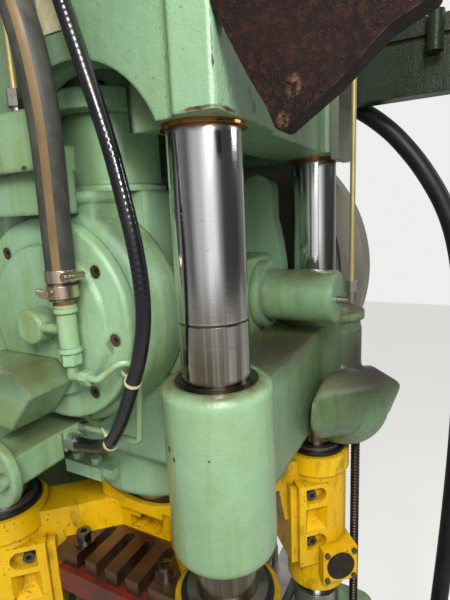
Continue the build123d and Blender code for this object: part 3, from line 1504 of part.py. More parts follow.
# Ports and glands that hold the hose ends: two under a block on the crown's left side, one in a bracket on
# its right side, the ferrule of the oil box and the gland in the tray
block_left = -306.0
ports_front = -106.0
ports_back = -22.0
ports_height = 44.0
bracket_port_low = 1815.0
bracket_port_high = 1866.0
bracket_port_front = -150.0
bracket_port_back = -110.0
bracket_port_right = 342.0
ferrule_wall = 3.0
gland_flange_r = 30.0
tray_floor = plinth_top - tray_depth
thick_start = Vector(*thick_points[0])
with BuildPart() as hose_ports:
    with BuildSketch(Plane.XY.offset(side_port_z)):
        with Locations(((block_left - crown_half_x) / 2, (ports_front + ports_back) / 2)):
            RectangleRounded(-block_left - crown_half_x, ports_back - ports_front, 6)
    extrude(amount=ports_height)
    for end, radius in ((striped_end, striped_r), (hydraulic_end, hydraulic_r)):
        with BuildSketch(Plane.XY.offset(side_port_z)):
            with Locations(end):
                Circle(radius + ferrule_wall)
        extrude(amount=-side_port_drop)
    with BuildSketch(Plane.XZ.offset(-port_front)):
        with Locations((pipe_end_x, pipe_end_z)):
            RegularPolygon(small_nut - 1, 6, major_radius=False)
    extrude(amount=small_nut_height)
    with BuildSketch(Plane.XZ.offset(-port_front)):
        with Locations((port_x, port_z)):
            Circle(hydraulic_r + ferrule_wall)
    extrude(amount=port_ferrule)
    with BuildSketch(Plane.XY.offset(bracket_port_low)):
        with Locations(((crown_half_x + bracket_port_right) / 2,
                        (bracket_port_front + bracket_port_back) / 2)):
            Rectangle(bracket_port_right - crown_half_x, bracket_port_back - bracket_port_front)
    extrude(amount=bracket_port_high - bracket_port_low)
    with BuildSketch(Plane(origin=thick_start, z_dir=thick_start - Vector(*thick_points[1]))):
        Circle(thick_r + ferrule_wall)
    extrude(amount=ferrule_length)
    with BuildSketch(Plane.XY.offset(tray_floor)):
        with Locations(floor_gland):
            Circle(thick_r + 2 * ferrule_wall)
    extrude(amount=floor_gland_top - tray_floor)
    with BuildSketch(Plane.XY.offset(tray_floor)):
        with Locations(floor_gland):
            Circle(gland_flange_r)
    extrude(amount=2 * ferrule_wall)
hose_ports.part.label = "hose_ports"
export_step(hose_ports.part, "parts/hose_ports.step")

# Barb of the tee and the two worm-drive clamps round the striped hose
clamp_width = 14.0
clamp_screw_r = 5.0
clamp_screw_length = 26.0
clamp_levels = (1515.0, 1533.0)
with BuildPart() as hose_clamps:
    for level, turn in zip(clamp_levels, (150, -100)):
        with BuildSketch(Plane.XY.offset(level)):
            with Locations((tee_x, tee_y)):
                Circle(striped_r + running_fit + clamp_wall)
                Circle(striped_r + running_fit, mode=Mode.SUBTRACT)
        extrude(amount=clamp_width)
        away = Vector(math.cos(math.radians(turn)), math.sin(math.radians(turn)), 0)
        along = Vector(-away.Y, away.X, 0)
        seat = Vector(tee_x, tee_y, level + clamp_width / 2) + away * (striped_r + clamp_wall + clamp_screw_r)
        with BuildSketch(Plane(origin=seat - along * clamp_screw_length / 2, z_dir=along)):
            Circle(clamp_screw_r)
        extrude(amount=clamp_screw_length)
hose_clamps.part.label = "hose_clamps"
export_step(hose_clamps.part, "parts/hose_clamps.step")


def cord_radii(points):
    """Bend radius at each inner point: 0.45 of the shorter run over the tangent of half the turn."""
    places = [Vector(*point) for point in points]
    radii = []
    for before, here, after in zip(places, places[1:], places[2:]):
        shorter = min((here - before).length, (after - here).length)
        radii.append(0.45 * shorter / math.tan(math.radians((here - before).get_angle(after - here)) / 2))
    return radii


for hose_name, hose_points, hose_r in (("striped_hose", striped_points, striped_r),
                                       ("hydraulic_hose", hydraulic_points, hydraulic_r),
                                       ("thick_hose", thick_points, thick_r)):
    bends = cord_radii(hose_points)
    with BuildPart() as hose:
        with BuildLine() as hose_route:
            FilletPolyline(*hose_points, radius=bends)
        with BuildSketch(Plane(hose_route.wires()[0] ^ 0)):
            Circle(hose_r)
        sweep(path=hose_route.wires()[0])
    length = hose_route.wires()[0].length
    print(hose_name, [round(bend) for bend in bends], round(length),
          round(hose.part.volume / (math.pi * hose_r ** 2 * length), 4))
    hose.part.label = hose_name
    export_step(hose.part, f"parts/{hose_name}.step")
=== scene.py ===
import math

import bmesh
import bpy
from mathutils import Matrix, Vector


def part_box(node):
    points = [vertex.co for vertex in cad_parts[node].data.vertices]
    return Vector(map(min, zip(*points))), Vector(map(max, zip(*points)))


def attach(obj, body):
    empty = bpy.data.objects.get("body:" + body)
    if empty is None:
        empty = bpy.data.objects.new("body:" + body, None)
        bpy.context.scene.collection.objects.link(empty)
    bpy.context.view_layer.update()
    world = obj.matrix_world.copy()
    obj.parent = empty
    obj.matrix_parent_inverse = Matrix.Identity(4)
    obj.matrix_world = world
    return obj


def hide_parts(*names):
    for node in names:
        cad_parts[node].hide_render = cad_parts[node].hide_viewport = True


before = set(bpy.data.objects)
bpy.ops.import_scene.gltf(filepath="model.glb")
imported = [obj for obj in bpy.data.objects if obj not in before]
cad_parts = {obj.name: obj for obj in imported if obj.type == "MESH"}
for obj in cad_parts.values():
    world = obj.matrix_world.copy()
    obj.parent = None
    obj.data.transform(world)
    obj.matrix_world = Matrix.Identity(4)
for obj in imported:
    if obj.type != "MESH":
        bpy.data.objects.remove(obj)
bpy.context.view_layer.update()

# %% [markdown]
# # A high-speed stamping press, dressed from its CAD frame
# The press stands in one frame for construction, motion and looks: metres, +Z up, the operator at -Y and
# the flywheel at +X. The castings, columns, ram and tool set come finished in shape from the CAD model.
# This lesson adds the camera, the light, the finishes and the small pieces that only the eye needs.

# %% [markdown]
# ## The camera
# The picture is taken from the operator's left, at head height, close to the left front column. Its
# place and turn were worked out from the vanishing points of the machine's edges. A plain perspective
# camera is enough: the lens follows from the focal length in pixels, and no shift is needed. A helper
# links each new object into the scene, here and in every later cell.

# %% The camera
FRAME_HEIGHT_PX = 600
FOCAL_PX = 430
SENSOR_MM = 36.0
NEAREST_SEEN = 0.02
camera_right = Vector((0.46384612, -0.88469725, -0.04644959))
camera_up = Vector((0.1947635, 0.05068522, 0.97953978))
camera_place = Vector((-0.6087, -0.4550, 1.6000))


def into_scene(name, data):
    made = bpy.data.objects.new(name, data)
    bpy.context.scene.collection.objects.link(made)
    return made


camera_data = bpy.data.cameras.new("picture_camera")
camera_data.sensor_width = SENSOR_MM
camera_data.lens = FOCAL_PX * SENSOR_MM / FRAME_HEIGHT_PX
camera_data.clip_start = NEAREST_SEEN
camera = into_scene("picture_camera", camera_data)
turn = Matrix((camera_right, camera_up, camera_right.cross(camera_up))).transposed()
camera.matrix_world = Matrix.Translation(camera_place) @ turn.to_4x4()
bpy.context.scene.camera = camera
print("lens", round(camera_data.lens, 2), "mm at", tuple(round(v, 3) for v in camera_place))

# %% [markdown]
# ## Small helpers for node trees
# Every finish below is a node tree. Each tree could be built by hand in the shader editor, but the same
# few moves come back in all of them, so short helpers keep the recipes readable. The first two add a
# node and wire its inputs: a socket is linked, and a plain value is set.


# %% Adding and wiring nodes
def add(tree, kind, inputs=None, **settings):
    made = tree.nodes.new(kind)
    for key, value in settings.items():
        setattr(made, key, value)
    for key, value in (inputs or {}).items():
        if isinstance(value, bpy.types.NodeSocket):
            tree.links.new(value, made.inputs[key])
        else:
            made.inputs[key].default_value = value
    return made


def wire(tree, node, **sockets):
    for label, value in sockets.items():
        tree.links.new(value, node.inputs[label.replace("_", " ")])


print("nodes can be added and wired")


# %% [markdown]
# ### Masks and numbers
# A mask is a value from 0 to 1 that says where something is. `mask` stretches any value into one, `both`
# and `either` join two of them, and `calc` holds every answer between 0 and 1, as a mask needs it.
# `number` and `vector` let it run free, as a height or a distance needs it, and `parts` takes a place
# apart into X, Y and Z.


# %% Masks and numbers
def mask(tree, value, low, high, top=1.0):
    stretch = {"Value": value, "From Min": low, "From Max": high, "To Max": top}
    return add(tree, "ShaderNodeMapRange", stretch, clamp=True).outputs[0]


def calc(tree, what, first, second):
    return add(tree, "ShaderNodeMath", {0: first, 1: second}, operation=what, use_clamp=True).outputs[0]


def both(tree, first, second):
    return calc(tree, "MULTIPLY", first, second)


def either(tree, first, second):
    return calc(tree, "MAXIMUM", first, second)


def number(tree, what, *values):
    return add(tree, "ShaderNodeMath", dict(enumerate(values)), operation=what).outputs[0]


def vector(tree, what, *values):
    return add(tree, "ShaderNodeVectorMath", dict(enumerate(values)), operation=what).outputs


def parts(tree, value):
    return add(tree, "ShaderNodeSeparateXYZ", {"Vector": value}).outputs


print("masks can be made and joined")


# %% [markdown]
# ### Colours and levels
# Most finishes are layers: paint, then oil, then rust. `blend` lays one colour over another where a mask
# is, `tint` darkens a colour by another as a thin film does, and `level` does with plain numbers what
# `blend` does with colours.


# %% Colours and levels
def blend(tree, amount, below, above):
    return add(tree, "ShaderNodeMix", {0: amount, 6: below, 7: above}, data_type="RGBA").outputs[2]


def level(tree, amount, below, above):
    return add(tree, "ShaderNodeMix", {0: amount, 2: below, 3: above}, data_type="FLOAT").outputs[0]


def tint(tree, amount, colour, by):
    wired = {0: amount, 6: colour, 7: by}
    return add(tree, "ShaderNodeMix", wired, data_type="RGBA", blend_type="MULTIPLY").outputs[2]


print("colours can be laid over each other")


# %% [markdown]
# ### Places and noises
# All patterns read the object's own coordinates, so they stay on a piece when it moves and need no
# unwrapping. `noise` gives clouds and grain, and `stretched` is a noise with a scale of its own along
# each axis, for streaks.


# %% Places and noises
def place(tree):
    return add(tree, "ShaderNodeTexCoord").outputs["Object"]


def noise(tree, where, scale, detail=3.0, rough=0.5):
    wired = {"Vector": where, "Scale": scale, "Detail": detail, "Roughness": rough}
    return add(tree, "ShaderNodeTexNoise", wired).outputs["Fac"]


def stretched(tree, where, scales, detail, rough):
    moved = add(tree, "ShaderNodeMapping", {"Vector": where, "Scale": scales}).outputs[0]
    return noise(tree, moved, 1.0, detail, rough)


print("patterns can be placed")


# %% [markdown]
# ### Effects as node groups
# Worn edges or oily corners are wanted in nearly every finish. A node group holds such an effect once,
# with sockets for what differs, so that each material stays small and a change reaches all of them.


# %% Effects as node groups
def new_effect(name, inputs, outputs):
    tree = bpy.data.node_groups.new(name, "ShaderNodeTree")
    for label, kind, start in inputs:
        made = tree.interface.new_socket(label, in_out="INPUT", socket_type=kind)
        made.default_value = start
    for label, kind in outputs:
        tree.interface.new_socket(label, in_out="OUTPUT", socket_type=kind)
    return tree, tree.nodes.new("NodeGroupInput").outputs, tree.nodes.new("NodeGroupOutput")


def use(tree, group, inputs):
    return add(tree, "ShaderNodeGroup", inputs, node_tree=group).outputs


FLOAT, VECTOR = "NodeSocketFloat", "NodeSocketVector"
print("effects can be grouped and used")

# %% [markdown]
# ## Effect: worn edges
# Paint wears first where a casting has an edge. The Bevel node answers with a normal that is rounded
# near edges, so the angle between it and the true normal is a mask of the edges. The same rounded normal
# softens the edges of every casting, because nothing on a sand casting is razor sharp. A modifier could
# round the mesh itself, but the shader does it without touching the CAD shapes.

# %% Worn edges
edge_wear, given, result = new_effect(
    "edge_wear",
    [("Radius", FLOAT, 0.002), ("Breakup", FLOAT, 60.0)],
    [("Mask", FLOAT), ("Normal", VECTOR)],
)
rounded = add(edge_wear, "ShaderNodeBevel", {"Radius": given["Radius"]}, samples=4).outputs[0]
flat_normal = add(edge_wear, "ShaderNodeNewGeometry").outputs["Normal"]
agreement = vector(edge_wear, "DOT_PRODUCT", rounded, flat_normal)["Value"]
rough_edge = noise(edge_wear, place(edge_wear), given["Breakup"], 4.0, 0.6)
edge_line = mask(edge_wear, agreement, 0.985, 0.80)
worn_through = mask(edge_wear, rough_edge, 0.42, 0.62)
wire(edge_wear, result, Mask=both(edge_wear, edge_line, worn_through), Normal=rounded)
print("effect:", edge_wear.name)

# %% [markdown]
# ## Effect: oily grime and painted corner shade
# Years of oil mist leave a yellow-brown film. It gathers in inner corners, where a cloth never reaches,
# and runs down in faint streaks. Ambient occlusion finds the corners, and a noise that is stretched
# along Z draws the streaks. The corner mask is partly that grime and partly painted shade, because it
# darkens the corners where shade falls.

# %% Oily grime and painted corner shade
grime_and_corner_shade, given, result = new_effect(
    "grime_and_corner_shade",
    [("Reach", FLOAT, 0.03), ("Cloud Scale", FLOAT, 9.0)],
    [("Corners", FLOAT), ("Clouds", FLOAT), ("Streaks", FLOAT)],
)
openness = add(grime_and_corner_shade, "ShaderNodeAmbientOcclusion", {"Distance": given["Reach"]},
               samples=4, only_local=True).outputs["AO"]
where = place(grime_and_corner_shade)
cloud = noise(grime_and_corner_shade, where, given["Cloud Scale"], 5.0, 0.6)
# the corners: partly oily grime, partly painted shade where ambient occlusion finds them closed in
closed_in = mask(grime_and_corner_shade, openness, 0.85, 0.25)
corner = both(grime_and_corner_shade, closed_in, mask(grime_and_corner_shade, cloud, 0.25, 0.6))
streak = stretched(grime_and_corner_shade, where, (45, 45, 2.5), 4.0, 0.6)
wire(grime_and_corner_shade, result, Corners=corner, Clouds=mask(grime_and_corner_shade, cloud, 0.42, 0.75),
     Streaks=mask(grime_and_corner_shade, streak, 0.5, 0.78))
print("effect:", grime_and_corner_shade.name)

# %% [markdown]
# ## Effect: specks
# Rust pits and paint chips are small, sharp and unevenly spread. A fine noise that is cut hard gives the
# specks, and a broad one decides where they crowd together.

# %% Specks
specks, given, result = new_effect(
    "specks",
    [("Scale", FLOAT, 220.0), ("Crowd Scale", FLOAT, 14.0), ("Cut", FLOAT, 0.66)],
    [("Mask", FLOAT)],
)
where = place(specks)
fine = noise(specks, where, given["Scale"], 3.0, 0.55)
crowd = mask(specks, noise(specks, where, given["Crowd Scale"], 2.0), 0.45, 0.62)
above_cut = calc(specks, "SUBTRACT", fine, given["Cut"])
wire(specks, result, Mask=both(specks, mask(specks, above_cut, 0.0, 0.04), crowd))
print("effect:", specks.name)

# %% [markdown]
# ## Effect: a mark at one place
# Some stains and chips belong to one spot of the machine. This effect answers with a ragged blot round a
# given point, so each finish can list its own marks by place and size. Its second output fades softly,
# for a zone that is dirtier and for a zone of painted shade.

# %% A mark at one place
placed_mark, given, result = new_effect(
    "placed_mark",
    [("Centre", VECTOR, (0, 0, 0)), ("Size", VECTOR, (0.01, 0.01, 0.01)), ("Ragged", FLOAT, 0.5)],
    [("Mask", FLOAT), ("Soft", FLOAT)],
)
where = place(placed_mark)
offset = vector(placed_mark, "SUBTRACT", where, given["Centre"])[0]
scaled = vector(placed_mark, "DIVIDE", offset, given["Size"])[0]
reach = vector(placed_mark, "LENGTH", scaled)["Value"]
ragged = noise(placed_mark, where, 130.0, 4.0, 0.65)
pushed = number(placed_mark, "MULTIPLY", ragged, given["Ragged"])
edge_of_mark = number(placed_mark, "ADD", reach, pushed)
wire(placed_mark, result, Mask=mask(placed_mark, edge_of_mark, 1.15, 0.85),
     Soft=mask(placed_mark, edge_of_mark, 1.45, 0.55))
print("effect:", placed_mark.name)

# %% [markdown]
# ## Effect: faces that look up
# Oil mist and dust settle on what faces the ceiling, so ledges, ribs and the tops of bosses are the
# dirtiest places of a press. The true normal's Z tells how far a face looks up, and a noise breaks the
# film into patches.

# %% Faces that look up
settled_oil, given, result = new_effect(
    "settled_oil",
    [("Patch Scale", FLOAT, 11.0)],
    [("Mask", FLOAT)],
)
up_normal = add(settled_oil, "ShaderNodeNewGeometry").outputs["Normal"]
up = parts(settled_oil, up_normal)["Z"]
patchy = mask(settled_oil, noise(settled_oil, place(settled_oil), given["Patch Scale"], 4.0, 0.6), 0.30, 0.55)
wire(settled_oil, result, Mask=both(settled_oil, mask(settled_oil, up, 0.35, 0.9), patchy))
print("effect:", settled_oil.name)

# %% [markdown]
# ## Starting and ending a material
# Each material is one Principled shader. Only what changes over the surface is wired to it: colour,
# roughness, metal, and the height of a bump. Numbers that are the same everywhere are set on the
# shader's own sockets. Two more helpers gather a list of placed marks, hard ones or soft zones, into one
# mask.


# %% Starting and ending a material
def new_material(name, **constants):
    made = bpy.data.materials.new(name)
    made.use_nodes = True
    tree = made.node_tree
    shader = tree.nodes["Principled BSDF"]
    for label, value in constants.items():
        shader.inputs[label.replace("_", " ")].default_value = value
    return made, tree, shader


def bump(tree, height, strength, distance, normal=None):
    wired = {"Height": height, "Strength": strength, "Distance": distance}
    if normal is not None:
        wired["Normal"] = normal
    return add(tree, "ShaderNodeBump", wired).outputs[0]


def marks_of(tree, marks):
    total = None
    for centre, size, ragged in marks:
        spot = use(tree, placed_mark, {"Centre": centre, "Size": size, "Ragged": ragged})["Mask"]
        total = spot if total is None else either(tree, total, spot)
    return total


def zones_of(tree, zones):
    total = None
    for centre, size, strength in zones:
        zone = use(tree, placed_mark, {"Centre": centre, "Size": size, "Ragged": 0.35})["Soft"]
        zone = both(tree, zone, strength)
        total = zone if total is None else either(tree, total, zone)
    return total


print("material helpers ready")

# %% [markdown]
# ## Reseda green machine paint
# The castings are filled, primed and sprayed in a grey-green machine enamel. The film itself is never
# quite even: it has faded in clouds and is finely mottled. Rust breaks through it at worn edges, in pits
# and at a few places that a casting can list as marks.

# %% The paint film and its rust
FRESH_GREEN = (0.235, 0.405, 0.250)
FADED_GREEN = (0.300, 0.485, 0.300)
OIL_FILM = (0.78, 0.70, 0.42, 1)
THICK_OIL = (0.105, 0.105, 0.040, 1)
DARK_OIL_AND_SHADE = (0.034, 0.030, 0.014, 1)
RUST = (0.125, 0.055, 0.015, 1)
OLD_RUST = (0.028, 0.016, 0.010, 1)
SOILED_AND_SHADED = (0.30, 0.31, 0.20, 1)
BLACK_OIL_AND_SHADE = (0.040, 0.036, 0.032, 1)
MOTTLED = (0.62, 0.66, 0.50, 1)


def shade_of(colour, tone):
    return (*[part * tone for part in colour], 1)


def green_film(tree, where, tone):
    fading = mask(tree, noise(tree, where, 4.0, 4.0), 0.35, 0.65)
    colour = blend(tree, fading, shade_of(FRESH_GREEN, tone), shade_of(FADED_GREEN, tone))
    mottle = mask(tree, noise(tree, where, 55.0, 4.0, 0.65), 0.35, 0.75)
    return tint(tree, both(tree, mottle, 0.22), colour, MOTTLED)


def broken_paint(tree, worn_edges, rusty, rust_marks):
    pits = use(tree, specks, {"Scale": 240.0, "Crowd Scale": 16.0, "Cut": 0.71 - 0.06 * rusty})["Mask"]
    worn = both(tree, worn_edges, rusty)
    chipped = either(tree, worn, both(tree, pits, 0.8))
    if rust_marks:
        chipped = either(tree, chipped, marks_of(tree, rust_marks))
    return chipped


print("the film and its rust are ready")


# %% [markdown]
# ### The whole finish
# Over the film lie the layers of a life beside the tools: a yellowish oil film in clouds and drips, soiled
# zones, thick oil on what faces up, dark oil in the corners, black zones, and rust over all of it. The dark
# corners are partly painted shade, and some soiled and black zones are painted shade as well. The skin has
# an orange peel. One function makes every variant: the tone, how dirty it is and how dark its corners are,
# and the lists of marks are its arguments.


# %% Reseda green machine paint
def green_paint(name, tone=1.0, dirt_and_corner_shade=0.5, round_edge=0.004, rusty=0.5, settled=0.6,
                rust_marks=(), oil_marks=(), soiling_and_shade=(), blackened=(), shine=0.5):
    made, tree, shader = new_material(name, Specular_IOR_Level=shine)
    where = place(tree)
    wear = use(tree, edge_wear, {"Radius": round_edge, "Breakup": 75.0})
    grime_and_shade = use(tree, grime_and_corner_shade, {"Reach": 0.055, "Cloud Scale": 7.0})
    colour = green_film(tree, where, tone)
    film = both(tree, calc(tree, "ADD", grime_and_shade["Clouds"], grime_and_shade["Streaks"]), dirt_and_corner_shade)
    colour = tint(tree, film, colour, OIL_FILM)
    # soiled zones darken the paint; those of the crown and of the head's right part are painted shade
    if soiling_and_shade:
        colour = tint(tree, zones_of(tree, soiling_and_shade), colour, SOILED_AND_SHADED)
    lying = both(tree, use(tree, settled_oil, {"Patch Scale": 10.0})["Mask"], settled)
    colour = blend(tree, lying, colour, THICK_OIL)
    # the corners darken to dark oil: partly grime, partly painted shade
    corner = both(tree, grime_and_shade["Corners"], min(1.0, 0.35 + dirt_and_corner_shade * 0.6))
    colour = blend(tree, corner, colour, DARK_OIL_AND_SHADE)
    if oil_marks:
        colour = blend(tree, both(tree, marks_of(tree, oil_marks), 0.7), colour, THICK_OIL)
    # blackened zones: black oil, and on the head's lobe painted shade as well
    if blackened:
        colour = blend(tree, zones_of(tree, blackened), colour, BLACK_OIL_AND_SHADE)
    chipped = broken_paint(tree, wear["Mask"], rusty, rust_marks)
    rust_tone = blend(tree, mask(tree, noise(tree, where, 90.0, 3.0), 0.4, 0.6), RUST, OLD_RUST)
    colour = blend(tree, chipped, colour, rust_tone)
    gloss = level(tree, either(tree, film, lying), 0.30, 0.20)
    peel = noise(tree, where, 380.0, 2.0)
    waves = noise(tree, where, 55.0, 3.0)
    skin = number(tree, "ADD", peel, waves)
    height = number(tree, "SUBTRACT", skin, chipped)
    wire(tree, shader, Base_Color=colour, Roughness=level(tree, chipped, gloss, 0.75),
         Normal=bump(tree, height, 0.50, 0.0010, wear["Normal"]))
    print("finish:", name)
    return made


body_green = green_paint("body_green", dirt_and_corner_shade=0.5)

# %% [markdown]
# ### The same paint, casting by casting
# Each casting has lived another life, so each gets its own marks, given by the place and size of the
# blot in metres. The crown's corners are rubbed to rust above the columns. Its two soiled zones are
# painted shade, which darkens its left side wall and its front face.

# %% The crown's paint
crown_green = green_paint(
    "crown_green", tone=0.76, dirt_and_corner_shade=0.42, rusty=0.75, settled=0.3,
    rust_marks=[((-0.260, -0.268, 1.740), (0.003, 0.003, 0.060), 1.1),
                ((-0.260, -0.268, 1.850), (0.003, 0.003, 0.050), 1.1),
                ((-0.258, -0.250, 1.692), (0.020, 0.030, 0.003), 0.8),
                ((-0.235, -0.270, 1.693), (0.030, 0.010, 0.004), 0.9)],
    oil_marks=[((-0.178, -0.266, 1.706), (0.010, 0.010, 0.012), 0.9),
               ((-0.187, -0.266, 1.718), (0.006, 0.010, 0.010), 0.8)],
    # painted shade: a darker left side wall and a darker front face
    soiling_and_shade=[((-0.246, -0.030, 1.800), (0.010, 0.210, 0.340), 0.72),
            ((0.100, -0.270, 1.750), (0.190, 0.020, 0.130), 0.50)],
)

# %% [markdown]
# ### The head's paint
# The head stands over the tools, in their oil: its front lobe carries a black top, partly oil and partly
# painted shade, and the right part of the head round the lobe is painted darker as shade. The left front
# boss has a black oily top, the web is blackened, and a small zone at the left is darkened. A few small
# rust blots sit on the side of that boss.

# %% The head's paint
head_green = green_paint(
    "head_green", tone=0.96, dirt_and_corner_shade=0.75, round_edge=0.012, rusty=0.35, settled=0.85,
    rust_marks=[((-0.2549, -0.1854, 1.3457), (0.0060, 0.0050, 0.0060), 0.8),
                ((-0.2597, -0.1947, 1.3372), (0.0040, 0.0040, 0.0050), 0.8),
                ((-0.2615, -0.2408, 1.3473), (0.0015, 0.0015, 0.0015), 0.3)],
    oil_marks=[((0.020, -0.200, 1.390), (0.200, 0.080, 0.030), 0.7)],
    # the first zone is painted shade over the right part of the head; the second darkens a small zone at the
    # left
    soiling_and_shade=[((0.140, -0.280, 1.300), (0.260, 0.140, 0.190), 0.88),
            ((-0.120, -0.170, 1.330), (0.030, 0.120, 0.100), 0.45)],
    # the lobe's black top is partly oil and partly painted shade; then the boss top and the web
    blackened=[((0.250, -0.330, 1.310), (0.150, 0.130, 0.088), 1.0),
               ((-0.200, -0.220, 1.423), (0.070, 0.070, 0.012), 0.75),
               ((-0.030, -0.220, 1.395), (0.130, 0.070, 0.030), 0.80)],
)

# %% [markdown]
# ### The paint of the housings, covers and fittings
# The bearing housing and the covers sit in oil mist, and the fittings lose their paint to wrenches. The
# side beam's paint is made nearly black, which is painted shade.

# %% The paint of the housings, covers and fittings
housing_green = green_paint(
    "housing_green", tone=0.86, dirt_and_corner_shade=1.0, round_edge=0.010, rusty=0.5, settled=0.7,
    rust_marks=[((-0.272, -0.030, 1.660), (0.006, 0.006, 0.004), 0.7)],
    oil_marks=[((-0.25, 0.04, 1.657), (0.05, 0.06, 0.003), 0.6)],
    soiling_and_shade=[((-0.29, -0.03, 1.425), (0.06, 0.10, 0.022), 0.75)],
)
cover_green = green_paint("cover_green", tone=0.94, dirt_and_corner_shade=1.0, round_edge=0.006, rusty=0.35, settled=0.6,
                          oil_marks=[((-0.240, -0.101, 1.452), (0.02, 0.007, 0.016), 0.8)])
fitting_green = green_paint("fitting_green", tone=0.98, dirt_and_corner_shade=1.0, round_edge=0.0015, rusty=0.9, settled=0.5,
                            rust_marks=[((-0.2651, -0.060, 1.508), (0.03, 0.03, 0.004), 0.7)])
# tone 0.06 paints the side beam nearly black as painted shade
beam_green_painted_shade = green_paint("beam_green_painted_shade", tone=0.06, dirt_and_corner_shade=1.0, round_edge=0.003, rusty=0.5, settled=0.3,
                         shine=0.12)
print("green paints ready")

# %% [markdown]
# ## Yellow enamel of the ram
# The moving ram is picked out in signal yellow, a thicker and glossier enamel. Its edges are chipped to
# dark metal by tools, and oil leaves brown smears on the flat tops.

# %% Yellow enamel of the ram
DEEP_YELLOW = (0.84, 0.495, 0.002, 1)
CLEAR_YELLOW = (0.93, 0.58, 0.003, 1)
YELLOW_FILM = (0.62, 0.50, 0.55, 1)
YELLOW_SMEAR = (0.16, 0.085, 0.012, 1)
YELLOW_CORNER = (0.09, 0.045, 0.008, 1)
YELLOW_BLACK = (0.030, 0.018, 0.010, 1)
CHIPPED = (0.045, 0.034, 0.026, 1)


def yellow_enamel(name, blackened):
    made, tree, shader = new_material(name, Specular_IOR_Level=0.35)
    where = place(tree)
    wear = use(tree, edge_wear, {"Radius": 0.0022, "Breakup": 110.0})
    grime_and_shade = use(tree, grime_and_corner_shade, {"Reach": 0.025, "Cloud Scale": 18.0})
    base = blend(tree, mask(tree, noise(tree, where, 8.0, 4.0), 0.35, 0.65), DEEP_YELLOW, CLEAR_YELLOW)
    film = both(tree, calc(tree, "ADD", grime_and_shade["Clouds"], grime_and_shade["Streaks"]), 0.25)
    colour = tint(tree, film, base, YELLOW_FILM)
    smear = mask(tree, stretched(tree, where, (30, 30, 9), 5.0, 0.7), 0.56, 0.68)
    colour = blend(tree, both(tree, smear, 0.6), colour, YELLOW_SMEAR)
    # the corners darken to brown: partly oily grime, partly painted shade
    colour = blend(tree, both(tree, grime_and_shade["Corners"], 0.85), colour, YELLOW_CORNER)
    colour = blend(tree, zones_of(tree, blackened), colour, YELLOW_BLACK)
    pits = use(tree, specks, {"Scale": 170.0, "Crowd Scale": 20.0, "Cut": 0.63})["Mask"]
    chips = either(tree, wear["Mask"], pits)
    colour = blend(tree, chips, colour, CHIPPED)
    skin = number(tree, "SUBTRACT", noise(tree, where, 260.0, 2.0), chips)
    wire(tree, shader, Base_Color=colour, Roughness=level(tree, chips, level(tree, film, 0.30, 0.18), 0.6),
         Normal=bump(tree, skin, 0.35, 0.0006, wear["Normal"]))
    print("finish:", name)
    return made


ram_yellow = yellow_enamel("ram_yellow", blackened=[((-0.200, -0.220, 1.118), (0.100, 0.100, 0.034), 0.95),
                                                    ((0.200, -0.220, 1.128), (0.060, 0.060, 0.012), 0.80)])

# %% [markdown]
# ## Hard chrome of the guide columns
# The four columns are hard chromed and ground, so they mirror the room in upright streaks. Oil dries to
# a brown ring under the crown and runs down in streaks below, a turned groove and a scuffed band show
# how far the bushes reach, and fine rings come from the sliding itself. The groove is painted dark as
# shade, with a painted highlight along its upper lip. All this depends on the height, so the pattern
# reads the Z of the column's own coordinates and holds when the column moves.

# %% The column's bands
# the column's bands: lower height, upper height and how soft the ends are, in metres
OIL_RING = (1.686, 1.710, 0.003)
SCUFFS = (1.459, 1.4915, 0.004)
# the groove is painted dark as shade, and the band above it gets a painted highlight
GROOVE = (1.4841, 1.4869, 0.0005)
GROOVE_HIGHLIGHT_BAND = (1.4867, 1.4889, 0.0004)
# where a film of oil starts on the way down, and where it is full
BOSS_OIL = (1.429, 1.422)
RUNNING_OIL = (1.56, 1.44)
CLEAR_CHROME = (0.74, 0.745, 0.76, 1)
HAZY_CHROME = (0.60, 0.59, 0.55, 1)
SCUFFED_CHROME = (0.44, 0.40, 0.33, 1)
LIP_PAINTED_HIGHLIGHT = (0.95, 0.93, 0.88, 1)
GROOVE_PAINTED_SHADE = (0.10, 0.09, 0.07, 1)
OIL_STREAK = (0.20, 0.15, 0.06, 1)
DRIED_SPECK = (0.30, 0.24, 0.16, 1)
BOSS_FILM = (0.10, 0.085, 0.06, 1)
RING_BROWN = (0.20, 0.085, 0.02, 1)


def band(tree, height, low, high, soft):
    rise = mask(tree, height, low - soft, low + soft)
    fall = mask(tree, height, high + soft, high - soft)
    return both(tree, rise, fall)


print("a column has bands from", SCUFFS[0], "to", OIL_RING[1], "m")


# %% [markdown]
# ### Chrome with its streaks and rings
# The recipe lays one mark over the other, from the haze up to the brown ring. Roughness follows the same
# masks, because oil and scuffs blur what the chrome mirrors.


